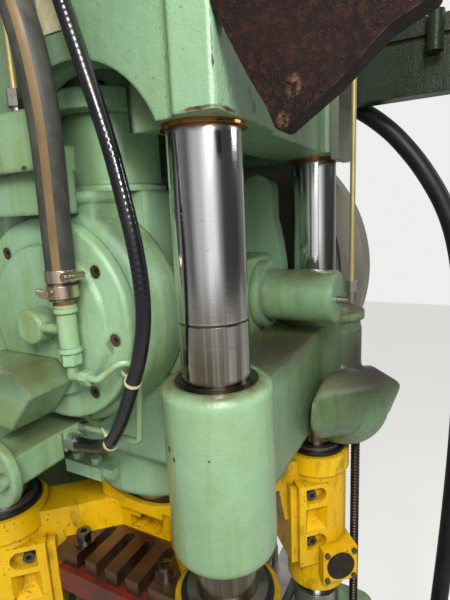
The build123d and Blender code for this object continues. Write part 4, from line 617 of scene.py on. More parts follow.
# %% Hard chrome of the guide columns
def chrome_column(name):
    made, tree, shader = new_material(name, Metallic=1.0)
    where = place(tree)
    height = parts(tree, where)["Z"]
    wobble = noise(tree, where, 30.0, 4.0, 0.6)
    shifted = number(tree, "MULTIPLY", wobble, 0.010)
    uneven = number(tree, "ADD", height, shifted)
    oil_ring = band(tree, uneven, *OIL_RING)
    boss_ring = mask(tree, uneven, *BOSS_OIL)
    fine_rings = stretched(tree, where, (5, 5, 1100), 3.0, 0.6)
    rub_rings = mask(tree, stretched(tree, where, (3, 3, 260), 2.0, 0.6), 0.50, 0.72)
    scuffed = both(tree, band(tree, uneven, *SCUFFS), rub_rings)
    lengthwise = stretched(tree, where, (320, 320, 2.5), 4.0, 0.65)
    smear = mask(tree, stretched(tree, where, (20, 20, 5), 4.0, 0.65), 0.46, 0.74)
    dried = use(tree, specks, {"Scale": 300.0, "Crowd Scale": 24.0, "Cut": 0.66})["Mask"]
    groove = band(tree, height, *GROOVE)
    streaks = mask(tree, stretched(tree, where, (70, 70, 1.2), 3.0, 0.6), 0.40, 0.58, 0.85)
    running = both(tree, streaks, mask(tree, height, *RUNNING_OIL))
    colour = blend(tree, smear, CLEAR_CHROME, HAZY_CHROME)
    colour = blend(tree, both(tree, scuffed, 0.5), colour, SCUFFED_CHROME)
    # painted highlight on the groove's lip, painted shade in the groove
    colour = blend(tree, band(tree, height, *GROOVE_HIGHLIGHT_BAND), colour, LIP_PAINTED_HIGHLIGHT)
    colour = blend(tree, groove, colour, GROOVE_PAINTED_SHADE)
    colour = blend(tree, running, colour, OIL_STREAK)
    colour = blend(tree, both(tree, dried, 0.5), colour, DRIED_SPECK)
    colour = blend(tree, both(tree, boss_ring, 0.8), colour, BOSS_FILM)
    colour = blend(tree, both(tree, oil_ring, 0.9), colour, RING_BROWN)
    gloss = level(tree, mask(tree, lengthwise, 0.3, 0.7), 0.10, 0.17)
    gloss = level(tree, smear, gloss, 0.20)
    gloss = level(tree, scuffed, gloss, 0.40)
    gloss = level(tree, oil_ring, gloss, 0.42)
    drawn = number(tree, "ADD", fine_rings, lengthwise)
    drawn = number(tree, "SUBTRACT", drawn, groove)
    wire(tree, shader, Base_Color=colour, Roughness=gloss, Normal=bump(tree, drawn, 0.07, 0.0006))
    print("finish:", name)
    return made


column_chrome = chrome_column("column_chrome")

# %% [markdown]
# ## Bare machined steel and iron
# Guides, screws, die parts and the flywheel are bare metal. Turned faces show rings round their axis and
# ground faces show straight lines; both are a noise that is stretched along the cut. Dried oil darkens
# them and a little rust tints them; in the corners the darkening is partly painted shade. The arguments
# give the tone, the direction of the grain and how brown the oil and the painted corner shade are.

# %% Bare machined metal
BROWN_OIL_AND_SHADE = (0.10, 0.065, 0.025, 1)


def machined(name, tone, grain=(8, 8, 300), rough=0.32, oil_and_shade=0.5, oil_and_shade_colour=BROWN_OIL_AND_SHADE, rust=0.3):
    made, tree, shader = new_material(name)
    where = place(tree)
    wear = use(tree, edge_wear, {"Radius": 0.0008, "Breakup": 120.0})
    grime_and_shade = use(tree, grime_and_corner_shade, {"Reach": 0.012, "Cloud Scale": 22.0})
    lines = stretched(tree, where, grain, 4.0, 0.65)
    colour = blend(tree, mask(tree, lines, 0.3, 0.7), shade_of(tone, 0.82), shade_of(tone, 1))
    # the oil film lies in clouds and in the corners; in the corners it is partly painted shade
    film = both(tree, either(tree, grime_and_shade["Clouds"], grime_and_shade["Corners"]), oil_and_shade)
    colour = blend(tree, film, colour, oil_and_shade_colour)
    pits = use(tree, specks, {"Scale": 320.0, "Crowd Scale": 28.0, "Cut": 0.62})["Mask"]
    spots = both(tree, pits, rust)
    colour = blend(tree, spots, colour, RUST)
    metal = level(tree, either(tree, spots, both(tree, film, 0.6)), 1.0, 0.0)
    gloss = level(tree, film, rough, rough * 0.75 + 0.1)
    wire(tree, shader, Base_Color=colour, Metallic=metal, Roughness=gloss,
         Normal=bump(tree, lines, 0.12, 0.0004, wear["Normal"]))
    print("finish:", name)
    return made


ground_steel = machined("ground_steel", (0.50, 0.50, 0.48), rough=0.28)
oiled_steel = machined("oiled_steel", (0.36, 0.34, 0.31), oil_and_shade=0.8, rough=0.34, rust=0.5)
brown_steel = machined("brown_steel", (0.20, 0.125, 0.080), (30, 30, 60), oil_and_shade=0.75, rough=0.42, rust=0.9,
                       oil_and_shade_colour=(0.065, 0.034, 0.016, 1))
wet_rust = machined("wet_rust", (0.52, 0.25, 0.06), (40, 40, 40), oil_and_shade=0.6, rough=0.16, rust=0.7,
                    oil_and_shade_colour=(0.16, 0.060, 0.010, 1))
black_steel = machined("black_steel", (0.050, 0.046, 0.042), oil_and_shade=0.4, rough=0.34, rust=0.35)
browned_screw = machined("browned_screw", (0.20, 0.16, 0.12), oil_and_shade=0.6, rough=0.32, rust=0.7)
oiled_screw = machined("oiled_screw", (0.16, 0.145, 0.125), oil_and_shade=0.7, rough=0.26, rust=0.6)
band_steel = machined("band_steel", (0.66, 0.57, 0.42), (60, 60, 60), oil_and_shade=0.45, rough=0.24, rust=1.0,
                      oil_and_shade_colour=(0.16, 0.085, 0.03, 1))
bronze = machined("bronze", (0.10, 0.080, 0.055), oil_and_shade=0.9, rough=0.26, rust=0.1,
                  oil_and_shade_colour=(0.018, 0.015, 0.010, 1))
facing_steel = machined("facing_steel", (0.38, 0.40, 0.33), (8, 8, 120), oil_and_shade=0.55, rough=0.42, rust=0.6)
tool_steel = machined("tool_steel", (0.46, 0.46, 0.44), (160, 6, 160), oil_and_shade=0.5, rough=0.30, rust=0.15)

# %% [markdown]
# ## Turned iron of the flywheel
# The flywheel and pulleys were faced on a lathe, so their marks are rings about their own axis, which
# runs through the middle of the piece's box. The distance from that axis comes from the Y and Z of the
# place, and a noise on that distance alone draws the rings.

# %% Turned iron
TURNED_OIL_AND_SHADE = (0.16, 0.12, 0.06, 1)


def middle_of(name):
    low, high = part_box(name)
    return (Vector(low) + Vector(high)) / 2


def turned(name, tone, middle):
    made, tree, shader = new_material(name)
    where = place(tree)
    split = parts(tree, where)
    dy = number(tree, "SUBTRACT", split["Y"], middle.y)
    dz = number(tree, "SUBTRACT", split["Z"], middle.z)
    flat = add(tree, "ShaderNodeCombineXYZ", {"X": dy, "Y": dz}).outputs[0]
    radius = vector(tree, "LENGTH", flat)["Value"]
    ring_place = add(tree, "ShaderNodeCombineXYZ", {"X": radius}).outputs[0]
    rings = noise(tree, ring_place, 420.0, 3.0, 0.7)
    grime_and_shade = use(tree, grime_and_corner_shade, {"Reach": 0.02, "Cloud Scale": 10.0})
    colour = blend(tree, mask(tree, rings, 0.3, 0.7), shade_of(tone, 0.86), shade_of(tone, 1))
    # oil film in clouds and in the corners; in the corners it is partly painted shade
    film = both(tree, either(tree, grime_and_shade["Clouds"], grime_and_shade["Corners"]), 0.45)
    colour = blend(tree, film, colour, TURNED_OIL_AND_SHADE)
    pits = use(tree, specks, {"Scale": 200.0, "Crowd Scale": 12.0, "Cut": 0.64})["Mask"]
    colour = blend(tree, both(tree, pits, 0.6), colour, RUST)
    wire(tree, shader, Base_Color=colour, Metallic=level(tree, film, 0.85, 0.2),
         Roughness=level(tree, film, 0.38, 0.50), Normal=bump(tree, rings, 0.15, 0.0005))
    print("finish:", name)
    return made


flywheel_iron = turned("flywheel_iron", (0.40, 0.375, 0.32), middle_of("flywheel"))
motor_pulley_iron = turned("motor_pulley_iron", (0.30, 0.30, 0.29), middle_of("motor_pulley"))

# %% [markdown]
# ## Rusted thick plate
# The plate that hangs from the crown was never painted. Its mill scale is nearly black, rust shows
# through in fine orange-brown specks, and a patch near the tip is rubbed to a dull tan. A picture of
# rust would show seams and its own light, so noises of different grain mix the tones here, and the same
# grit lifts the bump.

# %% Rusted thick plate
MILL_BLACK = (0.005, 0.0025, 0.0025, 1)
MILL_BROWN = (0.013, 0.005, 0.004, 1)
RUST_LUMP = (0.040, 0.013, 0.006, 1)
RUST_GRAIN = (0.13, 0.080, 0.060, 1)
RUST_PIT = (0.008, 0.005, 0.005, 1)
RUST_DRIP = (0.016, 0.009, 0.008, 1)
RUBBED_TAN = (0.100, 0.056, 0.030, 1)
RUBBED_EDGE = (0.17, 0.105, 0.075, 1)
RUBBED_PLACES = [((-0.262, -0.338, 1.695), (0.030, 0.014, 0.022), 1.3),
                 ((-0.262, -0.330, 1.672), (0.030, 0.010, 0.012), 1.1)]


def rusted_plate(name):
    made, tree, shader = new_material(name, Specular_IOR_Level=0.12)
    where = place(tree)
    wear = use(tree, edge_wear, {"Radius": 0.0020, "Breakup": 120.0})
    cloud = noise(tree, where, 11.0, 5.0, 0.65)
    grit = noise(tree, where, 620.0, 4.0, 0.75)
    lumps = noise(tree, where, 150.0, 4.0, 0.7)
    drip = stretched(tree, where, (70, 70, 9), 4.0, 0.6)
    colour = blend(tree, mask(tree, cloud, 0.35, 0.65), MILL_BLACK, MILL_BROWN)
    colour = blend(tree, mask(tree, lumps, 0.50, 0.68, 0.7), colour, RUST_LUMP)
    colour = blend(tree, mask(tree, grit, 0.64, 0.71), colour, RUST_GRAIN)
    colour = blend(tree, mask(tree, grit, 0.42, 0.32), colour, RUST_PIT)
    colour = blend(tree, mask(tree, drip, 0.56, 0.75, 0.5), colour, RUST_DRIP)
    rubbed = both(tree, marks_of(tree, RUBBED_PLACES), mask(tree, lumps, 0.44, 0.60))
    colour = blend(tree, rubbed, colour, RUBBED_TAN)
    colour = blend(tree, both(tree, wear["Mask"], 0.6), colour, RUBBED_EDGE)
    height = number(tree, "ADD", grit, lumps)
    wire(tree, shader, Base_Color=colour, Roughness=level(tree, mask(tree, cloud, 0.3, 0.7), 0.34, 0.55),
         Normal=bump(tree, height, 0.80, 0.0016, wear["Normal"]))
    print("finish:", name)
    return made


plate_rust = rusted_plate("plate_rust")

# %% [markdown]
# ## Drawn brass tube
# The thin oil lines are drawn brass, brighter where hands touch them and dull elsewhere. Full metal
# would mirror the dark side of the room and turn black, so the brass is only half metal: two tones mixed
# by a broad noise, with grime in the corners that is partly painted shade.

# %% Brass
BRIGHT_BRASS = (0.46, 0.38, 0.17, 1)
DULL_BRASS = (0.36, 0.30, 0.13, 1)
BRASS_GRIME_AND_SHADE = (0.14, 0.09, 0.03, 1)
brass, tree, shader = new_material("drawn_brass")
where = place(tree)
dull = mask(tree, noise(tree, where, 30.0, 3.0, 0.5), 0.3, 0.7)
# corners: partly grime, partly painted shade
brass_grime_and_shade = use(tree, grime_and_corner_shade, {"Reach": 0.01, "Cloud Scale": 30.0})["Corners"]
brass_colour = blend(tree, dull, BRIGHT_BRASS, DULL_BRASS)
brass_colour = blend(tree, brass_grime_and_shade, brass_colour, BRASS_GRIME_AND_SHADE)
wire(tree, shader, Base_Color=brass_colour, Roughness=level(tree, dull, 0.42, 0.55),
     Metallic=level(tree, brass_grime_and_shade, 0.55, 0.1))
print("finish:", brass.name)


# %% [markdown]
# ## Rubber
# Belts, seals and hoses are rubber: nearly black, with a low broad sheen and some dust. A noise lays the
# dust, so every piece gets its own. A hose with a braid under its skin shows fine ribs; they could be
# modelled, but a sine wave along the hose's UV map drives the bump and costs no faces.


# %% Rubber
def rubber(name, tone, rough, dust=0.3, shine=0.3, ribs=0.0):
    made, tree, shader = new_material(name, Specular_IOR_Level=shine)
    where = place(tree)
    cloud = mask(tree, noise(tree, where, 25.0, 4.0, 0.6), 0.45, 0.75)
    dusty = [0.5 * part + 0.03 for part in tone[:3]] + [1]
    colour = blend(tree, both(tree, cloud, dust), tone, dusty)
    if ribs:
        along = parts(tree, add(tree, "ShaderNodeTexCoord").outputs["UV"])["X"]
        relief = number(tree, "SINE", number(tree, "MULTIPLY", along, ribs * math.tau))
    else:
        relief = noise(tree, where, 700.0, 2.0)
    wire(tree, shader, Base_Color=colour, Roughness=level(tree, cloud, rough, rough + 0.15),
         Normal=bump(tree, relief, 0.25, 0.0003))
    print("finish:", name)
    return made


belt_rubber = rubber("belt_rubber", (0.018, 0.018, 0.019, 1), rough=0.6)
seal_rubber = rubber("seal_rubber", (0.012, 0.012, 0.012, 1), rough=0.35)

# %% [markdown]
# ## Worn red paint
# The upper tool shoe was once painted red and is worn to steel along its edges and where hands and tools
# have rubbed it. The edge mask and a stretched noise are joined into one mask of bare steel. It drives
# colour, metal and roughness together, because steel differs from paint in all three.

# %% Worn red paint
DULL_RED = (0.17, 0.016, 0.009, 1)
OILED_RED = (0.06, 0.010, 0.007, 1)
BARE_STEEL = (0.075, 0.052, 0.036, 1)


def worn_red(name):
    made, tree, shader = new_material(name)
    where = place(tree)
    wear = use(tree, edge_wear, {"Radius": 0.003, "Breakup": 60.0})
    grime_and_shade = use(tree, grime_and_corner_shade, {"Reach": 0.03, "Cloud Scale": 26.0})
    rubbed = mask(tree, stretched(tree, where, (40, 40, 90), 5.0, 0.7), 0.50, 0.62)
    bare = either(tree, wear["Mask"], both(tree, rubbed, 0.85))
    colour = blend(tree, grime_and_shade["Clouds"], DULL_RED, OILED_RED)
    colour = blend(tree, bare, colour, BARE_STEEL)
    wire(tree, shader, Base_Color=colour, Roughness=level(tree, bare, 0.42, 0.35),
         Metallic=level(tree, bare, 0.0, 0.6), Normal=bump(tree, rubbed, 0.3, 0.0005, wear["Normal"]))
    print("finish:", name)
    return made


shoe_red = worn_red("shoe_red")

# %% [markdown]
# ## Handing the finishes to the CAD nodes
# A carried-over CAD node keeps its shape and gets its finish through its material slots. The table below
# pairs each finish with its nodes, so a missing node shows at once.

# %% Handing the finishes to the CAD nodes
finishes = {
    body_green: ["base", "balance_cylinder", "balance_cap", "right_bearing_housing", "motor"],
    crown_green: ["crown"],
    head_green: ["frame_head", "pivot_housing"],
    housing_green: ["left_bearing_housing", "cover_block"],
    cover_green: ["drum_cover", "oil_box", "box_end_flange", "oil_union"],
    fitting_green: ["tee_fitting", "drum_pipe", "oil_distributor"],
    beam_green_painted_shade: ["side_beam"],
    ram_yellow: ["ram", "hub_guards"],
    shoe_red: ["upper_tool_shoe"],
    column_chrome: ["column_front_left", "column_rear_left", "column_front_right", "column_rear_right"],
    ground_steel: ["lower_guides", "levelling_feet", "bolster_plate", "plunger", "eccentric_shaft",
                   "tool_guide_posts", "hose_ports"],
    band_steel: ["hose_clamps"],
    tool_steel: ["lower_tool_shoe", "die_block", "punch_block", "tool_clamps"],
    brown_steel: ["tool_plate"],
    wet_rust: ["crown_rings"],
    oiled_steel: ["tube_fittings", "sleeve_rings"],
    facing_steel: ["facing_plate"],
    black_steel: ["worm_covers", "threaded_spindle"],
    browned_screw: ["socket_screws"],
    oiled_screw: ["ram_screws"],
    bronze: ["guide_bushes", "main_bearings", "tool_guide_bushes"],
    brass: ["brass_tubes"],
    plate_rust: ["bracket_plate"],
    flywheel_iron: ["flywheel", "drive_pulley"],
    motor_pulley_iron: ["motor_pulley"],
    belt_rubber: ["drive_belts"],
    seal_rubber: ["sleeve_seals"],
}

dressed = {name: finish for finish, names in finishes.items() for name in names}
for name, finish in dressed.items():
    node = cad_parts[name]
    if not node.material_slots:
        node.data.materials.append(finish)
    for material_slot in node.material_slots:
        material_slot.material = finish
print("dressed nodes:", len(dressed), "left:", sorted(set(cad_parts) - set(dressed)))

# %% [markdown]
# ## The hoses
# Three hoses run from place to place on the machine, so both of their ends are on it. A hose is one
# smooth curve: a NURBS spline whose control points are the route's corners, with a round bevel of the
# hose's own thickness. The same points bent the solid hoses in the CAD model, so the curve lies where
# the solid lies.

# %% The hoses' routes and sizes, in metres
STRIPED_DIAMETER, STRIPED_LENGTH = 0.033, 0.424
PRESSURE_DIAMETER, PRESSURE_LENGTH = 0.017, 0.712
THICK_DIAMETER, THICK_LENGTH = 0.034, 1.714
TEE_X = -0.2651
striped_route = [
    (TEE_X, -0.060, 1.512), (TEE_X, -0.060, 1.570), (-0.270, -0.068, 1.630),
    (-0.280, -0.081, 1.700), (-0.288, -0.082, 1.765), (-0.288, -0.066, 1.820),
    (-0.284, -0.045, 1.880), (-0.284, -0.045, 1.928),
]
pressure_route = [
    (-0.270, -0.090, 1.928), (-0.270, -0.090, 1.884), (-0.272, -0.104, 1.836),
    (-0.272, -0.119, 1.788), (-0.272, -0.137, 1.732), (-0.272, -0.155, 1.675),
    (-0.270, -0.166, 1.618), (-0.266, -0.174, 1.559), (-0.262, -0.173, 1.500),
    (-0.258, -0.158, 1.450), (-0.252, -0.136, 1.407), (-0.244, -0.107, 1.353),
    (-0.233, -0.066, 1.304), (-0.233, -0.018, 1.304),
]
thick_route = [
    (0.320, -0.170, 1.832), (0.320, -0.209, 1.822), (0.320, -0.247, 1.807),
    (0.320, -0.283, 1.786), (0.320, -0.318, 1.759), (0.320, -0.352, 1.726),
    (0.320, -0.400, 1.664), (0.320, -0.446, 1.579), (0.320, -0.470, 1.480),
    (0.320, -0.482, 1.350), (0.318, -0.484, 1.150), (0.312, -0.476, 0.900),
    (0.304, -0.460, 0.620), (0.300, -0.455, 0.430), (0.300, -0.455, 0.258),
]
print("route points:", len(striped_route), len(pressure_route), len(thick_route))


# %% Making a hose
def make_hose(name, route, diameter, length, finish):
    data = bpy.data.curves.new(name, "CURVE")
    data.dimensions = "3D"
    data.resolution_u = 10
    data.bevel_depth = diameter / 2
    data.bevel_resolution = 7
    data.use_fill_caps = True
    spline = data.splines.new("NURBS")
    spline.points.add(len(route) - 1)
    for point, corner in zip(spline.points, route):
        point.co = (*corner, 1.0)
    spline.order_u = 3
    spline.use_endpoint_u = True
    data.materials.append(finish)
    hose = into_scene(name, data)
    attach(hose, "frame")
    print("hose:", name, length, "m")
    return hose


# %% [markdown]
# ### The hoses' rubber
# The oil hose is grey-brown with a tan stripe along it; the curve's own UV map runs round the hose, so a
# narrow band of it is the stripe. The pressure hose is black and shows the ribs of its braid, a wave
# along the same UV map.

# %% The hoses' rubber
HOSE_DARK = (0.036, 0.038, 0.034, 1)
HOSE_WORN = (0.070, 0.068, 0.056, 1)
STRIPE_TAN = (0.175, 0.115, 0.052, 1)
STRIPE_SOILED = (0.125, 0.085, 0.042, 1)


def striped_rubber(name, stripe_at, stripe_half):
    made, tree, shader = new_material(name, Specular_IOR_Level=0.25)
    where = place(tree)
    round_hose = parts(tree, add(tree, "ShaderNodeTexCoord").outputs["UV"])["Y"]
    from_stripe = number(tree, "SUBTRACT", round_hose, stripe_at)
    from_stripe = number(tree, "WRAP", from_stripe, 0.5, -0.5)
    from_stripe = number(tree, "ABSOLUTE", from_stripe)
    stripe = mask(tree, from_stripe, stripe_half, stripe_half * 0.85)
    cloud = mask(tree, noise(tree, where, 30.0, 5.0, 0.65), 0.4, 0.7)
    colour = blend(tree, cloud, HOSE_DARK, HOSE_WORN)
    colour = blend(tree, stripe, colour, blend(tree, cloud, STRIPE_TAN, STRIPE_SOILED))
    weave = noise(tree, where, 500.0, 2.0)
    wire(tree, shader, Base_Color=colour, Roughness=level(tree, cloud, 0.42, 0.6),
         Normal=bump(tree, weave, 0.2, 0.0003))
    print("finish:", name)
    return made


hose_stripe_rubber = striped_rubber("hose_stripe_rubber", stripe_at=0.036, stripe_half=0.047)
pressure_hose_rubber = rubber("pressure_hose_rubber", (0.006, 0.006, 0.008, 1), rough=0.16, dust=0.15,
                              shine=0.6, ribs=110.0)
thick_hose_rubber = rubber("thick_hose_rubber", (0.008, 0.008, 0.011, 1), rough=0.42, dust=0.2, shine=0.25)

# %% Making the hoses
striped = make_hose("oil_hose_striped", striped_route, STRIPED_DIAMETER, STRIPED_LENGTH, hose_stripe_rubber)
pressure = make_hose("pressure_hose_black", pressure_route, PRESSURE_DIAMETER, PRESSURE_LENGTH,
                     pressure_hose_rubber)
thick = make_hose("thick_hose_black", thick_route, THICK_DIAMETER, THICK_LENGTH, thick_hose_rubber)
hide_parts("striped_hose")
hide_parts("hydraulic_hose")
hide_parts("thick_hose")

# %% [markdown]
# ## Small pieces
# A few pieces are too small for the CAD model, or their form is only for the eye. Each is built with
# bmesh, straight at its place on the machine, so its origin stays at the machine's own. The helpers hand
# over a finished mesh, spin an outline about Z, round edges off and make a box whose edges are broken,
# because no real edge is perfectly sharp.


# %% Making a mesh into a piece
def new_piece(name, shape, finish, body):
    bmesh.ops.remove_doubles(shape, verts=shape.verts, dist=1e-6)
    bmesh.ops.recalc_face_normals(shape, faces=shape.faces)
    data = bpy.data.meshes.new(name)
    shape.to_mesh(data)
    shape.free()
    data.materials.append(finish)
    piece = into_scene(name, data)
    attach(piece, body)
    print("piece:", name, len(data.polygons), "faces")
    return piece


def spin_round(shape, outline, steps):
    ring = [shape.verts.new((radius, 0.0, height)) for radius, height in outline]
    edges = [shape.edges.new(pair) for pair in zip(ring, ring[1:])]
    bmesh.ops.spin(shape, geom=ring + edges, cent=(0, 0, 0), axis=(0, 0, 1), angle=math.tau, steps=steps,
                   use_merge=True)


def round_off(shape, edges, width, segments):
    bmesh.ops.bevel(shape, geom=edges, offset=width, segments=segments, profile=0.5, affect="EDGES",
                    material=-1)


def break_edges(shape, corners, width):
    touching = {edge for corner in corners for edge in corner.link_edges}
    round_off(shape, list(touching), width, segments=2)


def broken_box(shape, size, at, edge):
    stretch = Matrix.Translation(at) @ Matrix.Diagonal((*size, 1.0))
    made = bmesh.ops.create_cube(shape, size=1.0, matrix=stretch)["verts"]
    break_edges(shape, made, edge)


print("mesh helpers ready")

# %% [markdown]
# ### Cream plastic
# The cable ties and the small plate are cream, and oil has stained them. They are too small for marks of
# their own, so the oily grime with a very short reach is all the dirt they get; its darkening in the
# corners is partly painted shade.

# %% Cream plastic
CREAM_SOILED = (0.22, 0.17, 0.08, 1)
CREAM_CORNER = (0.12, 0.085, 0.035, 1)


def cream_plastic(name, tone):
    made, tree, shader = new_material(name)
    where = place(tree)
    grime_and_shade = use(tree, grime_and_corner_shade, {"Reach": 0.006, "Cloud Scale": 60.0})
    colour = blend(tree, both(tree, grime_and_shade["Clouds"], 0.6), tone, CREAM_SOILED)
    # the corners darken: partly grime, partly painted shade
    colour = blend(tree, grime_and_shade["Corners"], colour, CREAM_CORNER)
    wire(tree, shader, Base_Color=colour, Roughness=level(tree, grime_and_shade["Clouds"], 0.40, 0.55),
         Normal=bump(tree, noise(tree, where, 500.0, 2.0), 0.15, 0.0002))
    print("finish:", name)
    return made


tie_cream = cream_plastic("tie_cream", (0.56, 0.49, 0.33, 1))
plate_cream = cream_plastic("plate_cream", (0.47, 0.43, 0.27, 1))

# %% [markdown]
# ### Cable ties on the pressure hose
# Two cable ties hold the pressure hose. A tie is a flat strap that runs once round, with a small square
# head and a cut tail. A torus would make the strap round, so a four-cornered outline is spun about the
# hose's line instead. The head and the tail are boxes with their edges broken.

# %% Cable ties on the pressure hose
HOSE_RADIUS = PRESSURE_DIAMETER / 2
STRAP_INSIDE, STRAP_OUTSIDE, STRAP_HALF = HOSE_RADIUS + 0.0003, HOSE_RADIUS + 0.0014, 0.0018
TIE_HEAD, TIE_HEAD_AT = (0.0042, 0.0052, 0.0050), Vector((HOSE_RADIUS + 0.0026, 0, 0))
TIE_TAIL, TIE_TAIL_AT = (0.0110, 0.0012, 0.0034), Vector((HOSE_RADIUS + 0.0090, 0.0012, 0))


def cable_tie(name, at, along):
    shape = bmesh.new()
    strap = [(STRAP_INSIDE, -STRAP_HALF), (STRAP_OUTSIDE, -STRAP_HALF), (STRAP_OUTSIDE, STRAP_HALF),
             (STRAP_INSIDE, STRAP_HALF), (STRAP_INSIDE, -STRAP_HALF)]
    spin_round(shape, strap, steps=30)
    broken_box(shape, TIE_HEAD, at=TIE_HEAD_AT, edge=0.0007)
    broken_box(shape, TIE_TAIL, at=TIE_TAIL_AT, edge=0.0003)
    turn_to = Vector(along).to_track_quat("Z", "X").to_matrix().to_4x4()
    bmesh.ops.transform(shape, matrix=Matrix.Translation(at) @ turn_to, verts=shape.verts)
    return new_piece(name, shape, tie_cream, "frame")


cable_tie("cable_tie_upper", at=(-0.2530, -0.1405, 1.4170), along=(-0.12, -0.39, 1.0))
cable_tie("cable_tie_lower", at=(-0.2365, -0.0795, 1.3190), along=(-0.17, -0.80, 0.70))

# %% [markdown]
# ### The blank plate on the crown
# A small bare plate hangs on the crown by four rivets. It is a thin box with its edges broken, and each
# rivet is a sphere pressed flat, so that it catches a highlight as a rivet head does.

# %% The blank plate on the crown
PLATE_MIDDLE, PLATE_SIZE = Vector((-0.2529, -0.0752, 1.8290)), (0.0016, 0.034, 0.074)
RIVET_RADIUS, RIVET_FLATNESS, RIVET_OUT, RIVET_Y, RIVET_Z = 0.0018, 0.5, -0.0010, 0.0135, 0.033
plate_mesh = bmesh.new()
broken_box(plate_mesh, PLATE_SIZE, at=PLATE_MIDDLE, edge=0.0004)
for side_y in (-RIVET_Y, RIVET_Y):
    for side_z in (-RIVET_Z, RIVET_Z):
        rivet = bmesh.ops.create_uvsphere(plate_mesh, u_segments=14, v_segments=8, radius=RIVET_RADIUS)
        bmesh.ops.scale(plate_mesh, vec=(RIVET_FLATNESS, 1, 1), verts=rivet["verts"])
        rivet_at = PLATE_MIDDLE + Vector((RIVET_OUT, side_y, side_z))
        bmesh.ops.translate(plate_mesh, vec=rivet_at, verts=rivet["verts"])
new_piece("blank_plate", plate_mesh, plate_cream, "frame")

# %% [markdown]
# ### The ribbed spindle
# The spindle's thread reads as even black ribs. A true screw thread needs a helix and many more faces,
# so an outline of flat-topped teeth is spun about the axis, which looks the same from any side. A
# six-sided nut sits at each end.

# %% The ribbed spindle
spindle_low, spindle_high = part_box("threaded_spindle")
spindle_x, spindle_y = middle_of("threaded_spindle")[:2]
SPINDLE_RADIUS, RIB_DEPTH, RIB_PITCH = 0.009, 0.0022, 0.0070
# where a rib's flat top starts and ends, as shares of the pitch
RIB_FROM, RIB_TO = 0.3, 0.7
NUT_RADIUS, NUT_HEIGHT = 0.0137, 0.016
ribs = int((spindle_high[2] - spindle_low[2]) / RIB_PITCH)
outline = [(0.0, spindle_low[2])]
for rib in range(ribs):
    foot = spindle_low[2] + rib * RIB_PITCH
    outline += [(SPINDLE_RADIUS - RIB_DEPTH, foot), (SPINDLE_RADIUS, foot + RIB_PITCH * RIB_FROM),
                (SPINDLE_RADIUS, foot + RIB_PITCH * RIB_TO)]
outline += [(SPINDLE_RADIUS - RIB_DEPTH, spindle_high[2]), (0.0, spindle_high[2])]
spindle_mesh = bmesh.new()
spin_round(spindle_mesh, outline, steps=22)
bmesh.ops.translate(spindle_mesh, vec=(spindle_x, spindle_y, 0), verts=spindle_mesh.verts)
for middle in (spindle_low[2] + NUT_HEIGHT / 2, spindle_high[2] - NUT_HEIGHT / 2):
    nut_middle = Matrix.Translation((spindle_x, spindle_y, middle))
    nut = bmesh.ops.create_cone(spindle_mesh, cap_ends=True, segments=6, radius1=NUT_RADIUS,
                                radius2=NUT_RADIUS, depth=NUT_HEIGHT, matrix=nut_middle)["verts"]
    break_edges(spindle_mesh, nut, width=0.001)
ribbed_spindle = new_piece("ribbed_spindle", spindle_mesh, black_steel, "frame")
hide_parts("threaded_spindle")

# %% [markdown]
# ## The riser on the counterbalance cap
# Behind the arch of the crown the cap carries a round riser, so green paint and not a dark gap shows
# there. It is a short turned boss with a broken edge, made as a capped cone whose rims are bevelled.

# %% The riser on the counterbalance cap
cap_low, cap_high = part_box("balance_cap")
cap_x, cap_y = middle_of("balance_cap")[:2]
RISER_TOP, RISER_SINK, RISER_EDGE = 1.781, 0.002, 0.004
SHARE_OF_CAP, RISER_TAPER = 0.86, 0.97
riser_radius = SHARE_OF_CAP * (cap_high[0] - cap_low[0]) / 2
riser_height = RISER_TOP - cap_high[2] + RISER_SINK
riser_middle = Matrix.Translation((cap_x, cap_y, RISER_TOP - riser_height / 2))
riser_mesh = bmesh.new()
bmesh.ops.create_cone(riser_mesh, cap_ends=True, segments=64, radius1=riser_radius,
                      radius2=riser_radius * RISER_TAPER, depth=riser_height, matrix=riser_middle)
rims = [edge for edge in riser_mesh.edges if any(len(face.verts) > 4 for face in edge.link_faces)]
round_off(riser_mesh, rims, width=RISER_EDGE, segments=3)
new_piece("cap_riser", riser_mesh, body_green, "frame")
print("riser", round(riser_radius, 4), "m in radius,", round(riser_height, 4), "m high")

# %% [markdown]
# ## The hooded lobe of the head
# The head's front right lobe is a cast hood: it grows out of the web like a forearm, rises to a ridge
# and ends in a blunt lip. It could be sculpted, but a few numbers are easier to change: balls of the
# right radius are set at its corners and wrapped in one convex hull.

# %% The hooded lobe of the head
# the centre and the radius of each ball, in metres
LOBE_BALLS = [((-0.030, -0.200, 1.290), 0.040), ((0.075, -0.246, 1.250), 0.045),
              ((0.222, -0.290, 1.214), 0.062), ((0.243, -0.318, 1.270), 0.020),
              ((0.262, -0.363, 1.246), 0.013), ((0.262, -0.336, 1.199), 0.024),
              ((0.176, -0.288, 1.248), 0.020)]
lobe_mesh = bmesh.new()
for middle, radius in LOBE_BALLS:
    bmesh.ops.create_uvsphere(lobe_mesh, u_segments=20, v_segments=12, radius=radius,
                              matrix=Matrix.Translation(middle))
bmesh.ops.delete(lobe_mesh, geom=lobe_mesh.edges[:] + lobe_mesh.faces[:], context="EDGES_FACES")
wrapped = bmesh.ops.convex_hull(lobe_mesh, input=lobe_mesh.verts[:])
left_over = wrapped["geom_interior"] + wrapped["geom_unused"]
inside = {part for part in left_over if isinstance(part, bmesh.types.BMVert)}
bmesh.ops.delete(lobe_mesh, geom=list(inside), context="VERTS")
print("the hull has", len(lobe_mesh.verts), "vertices")

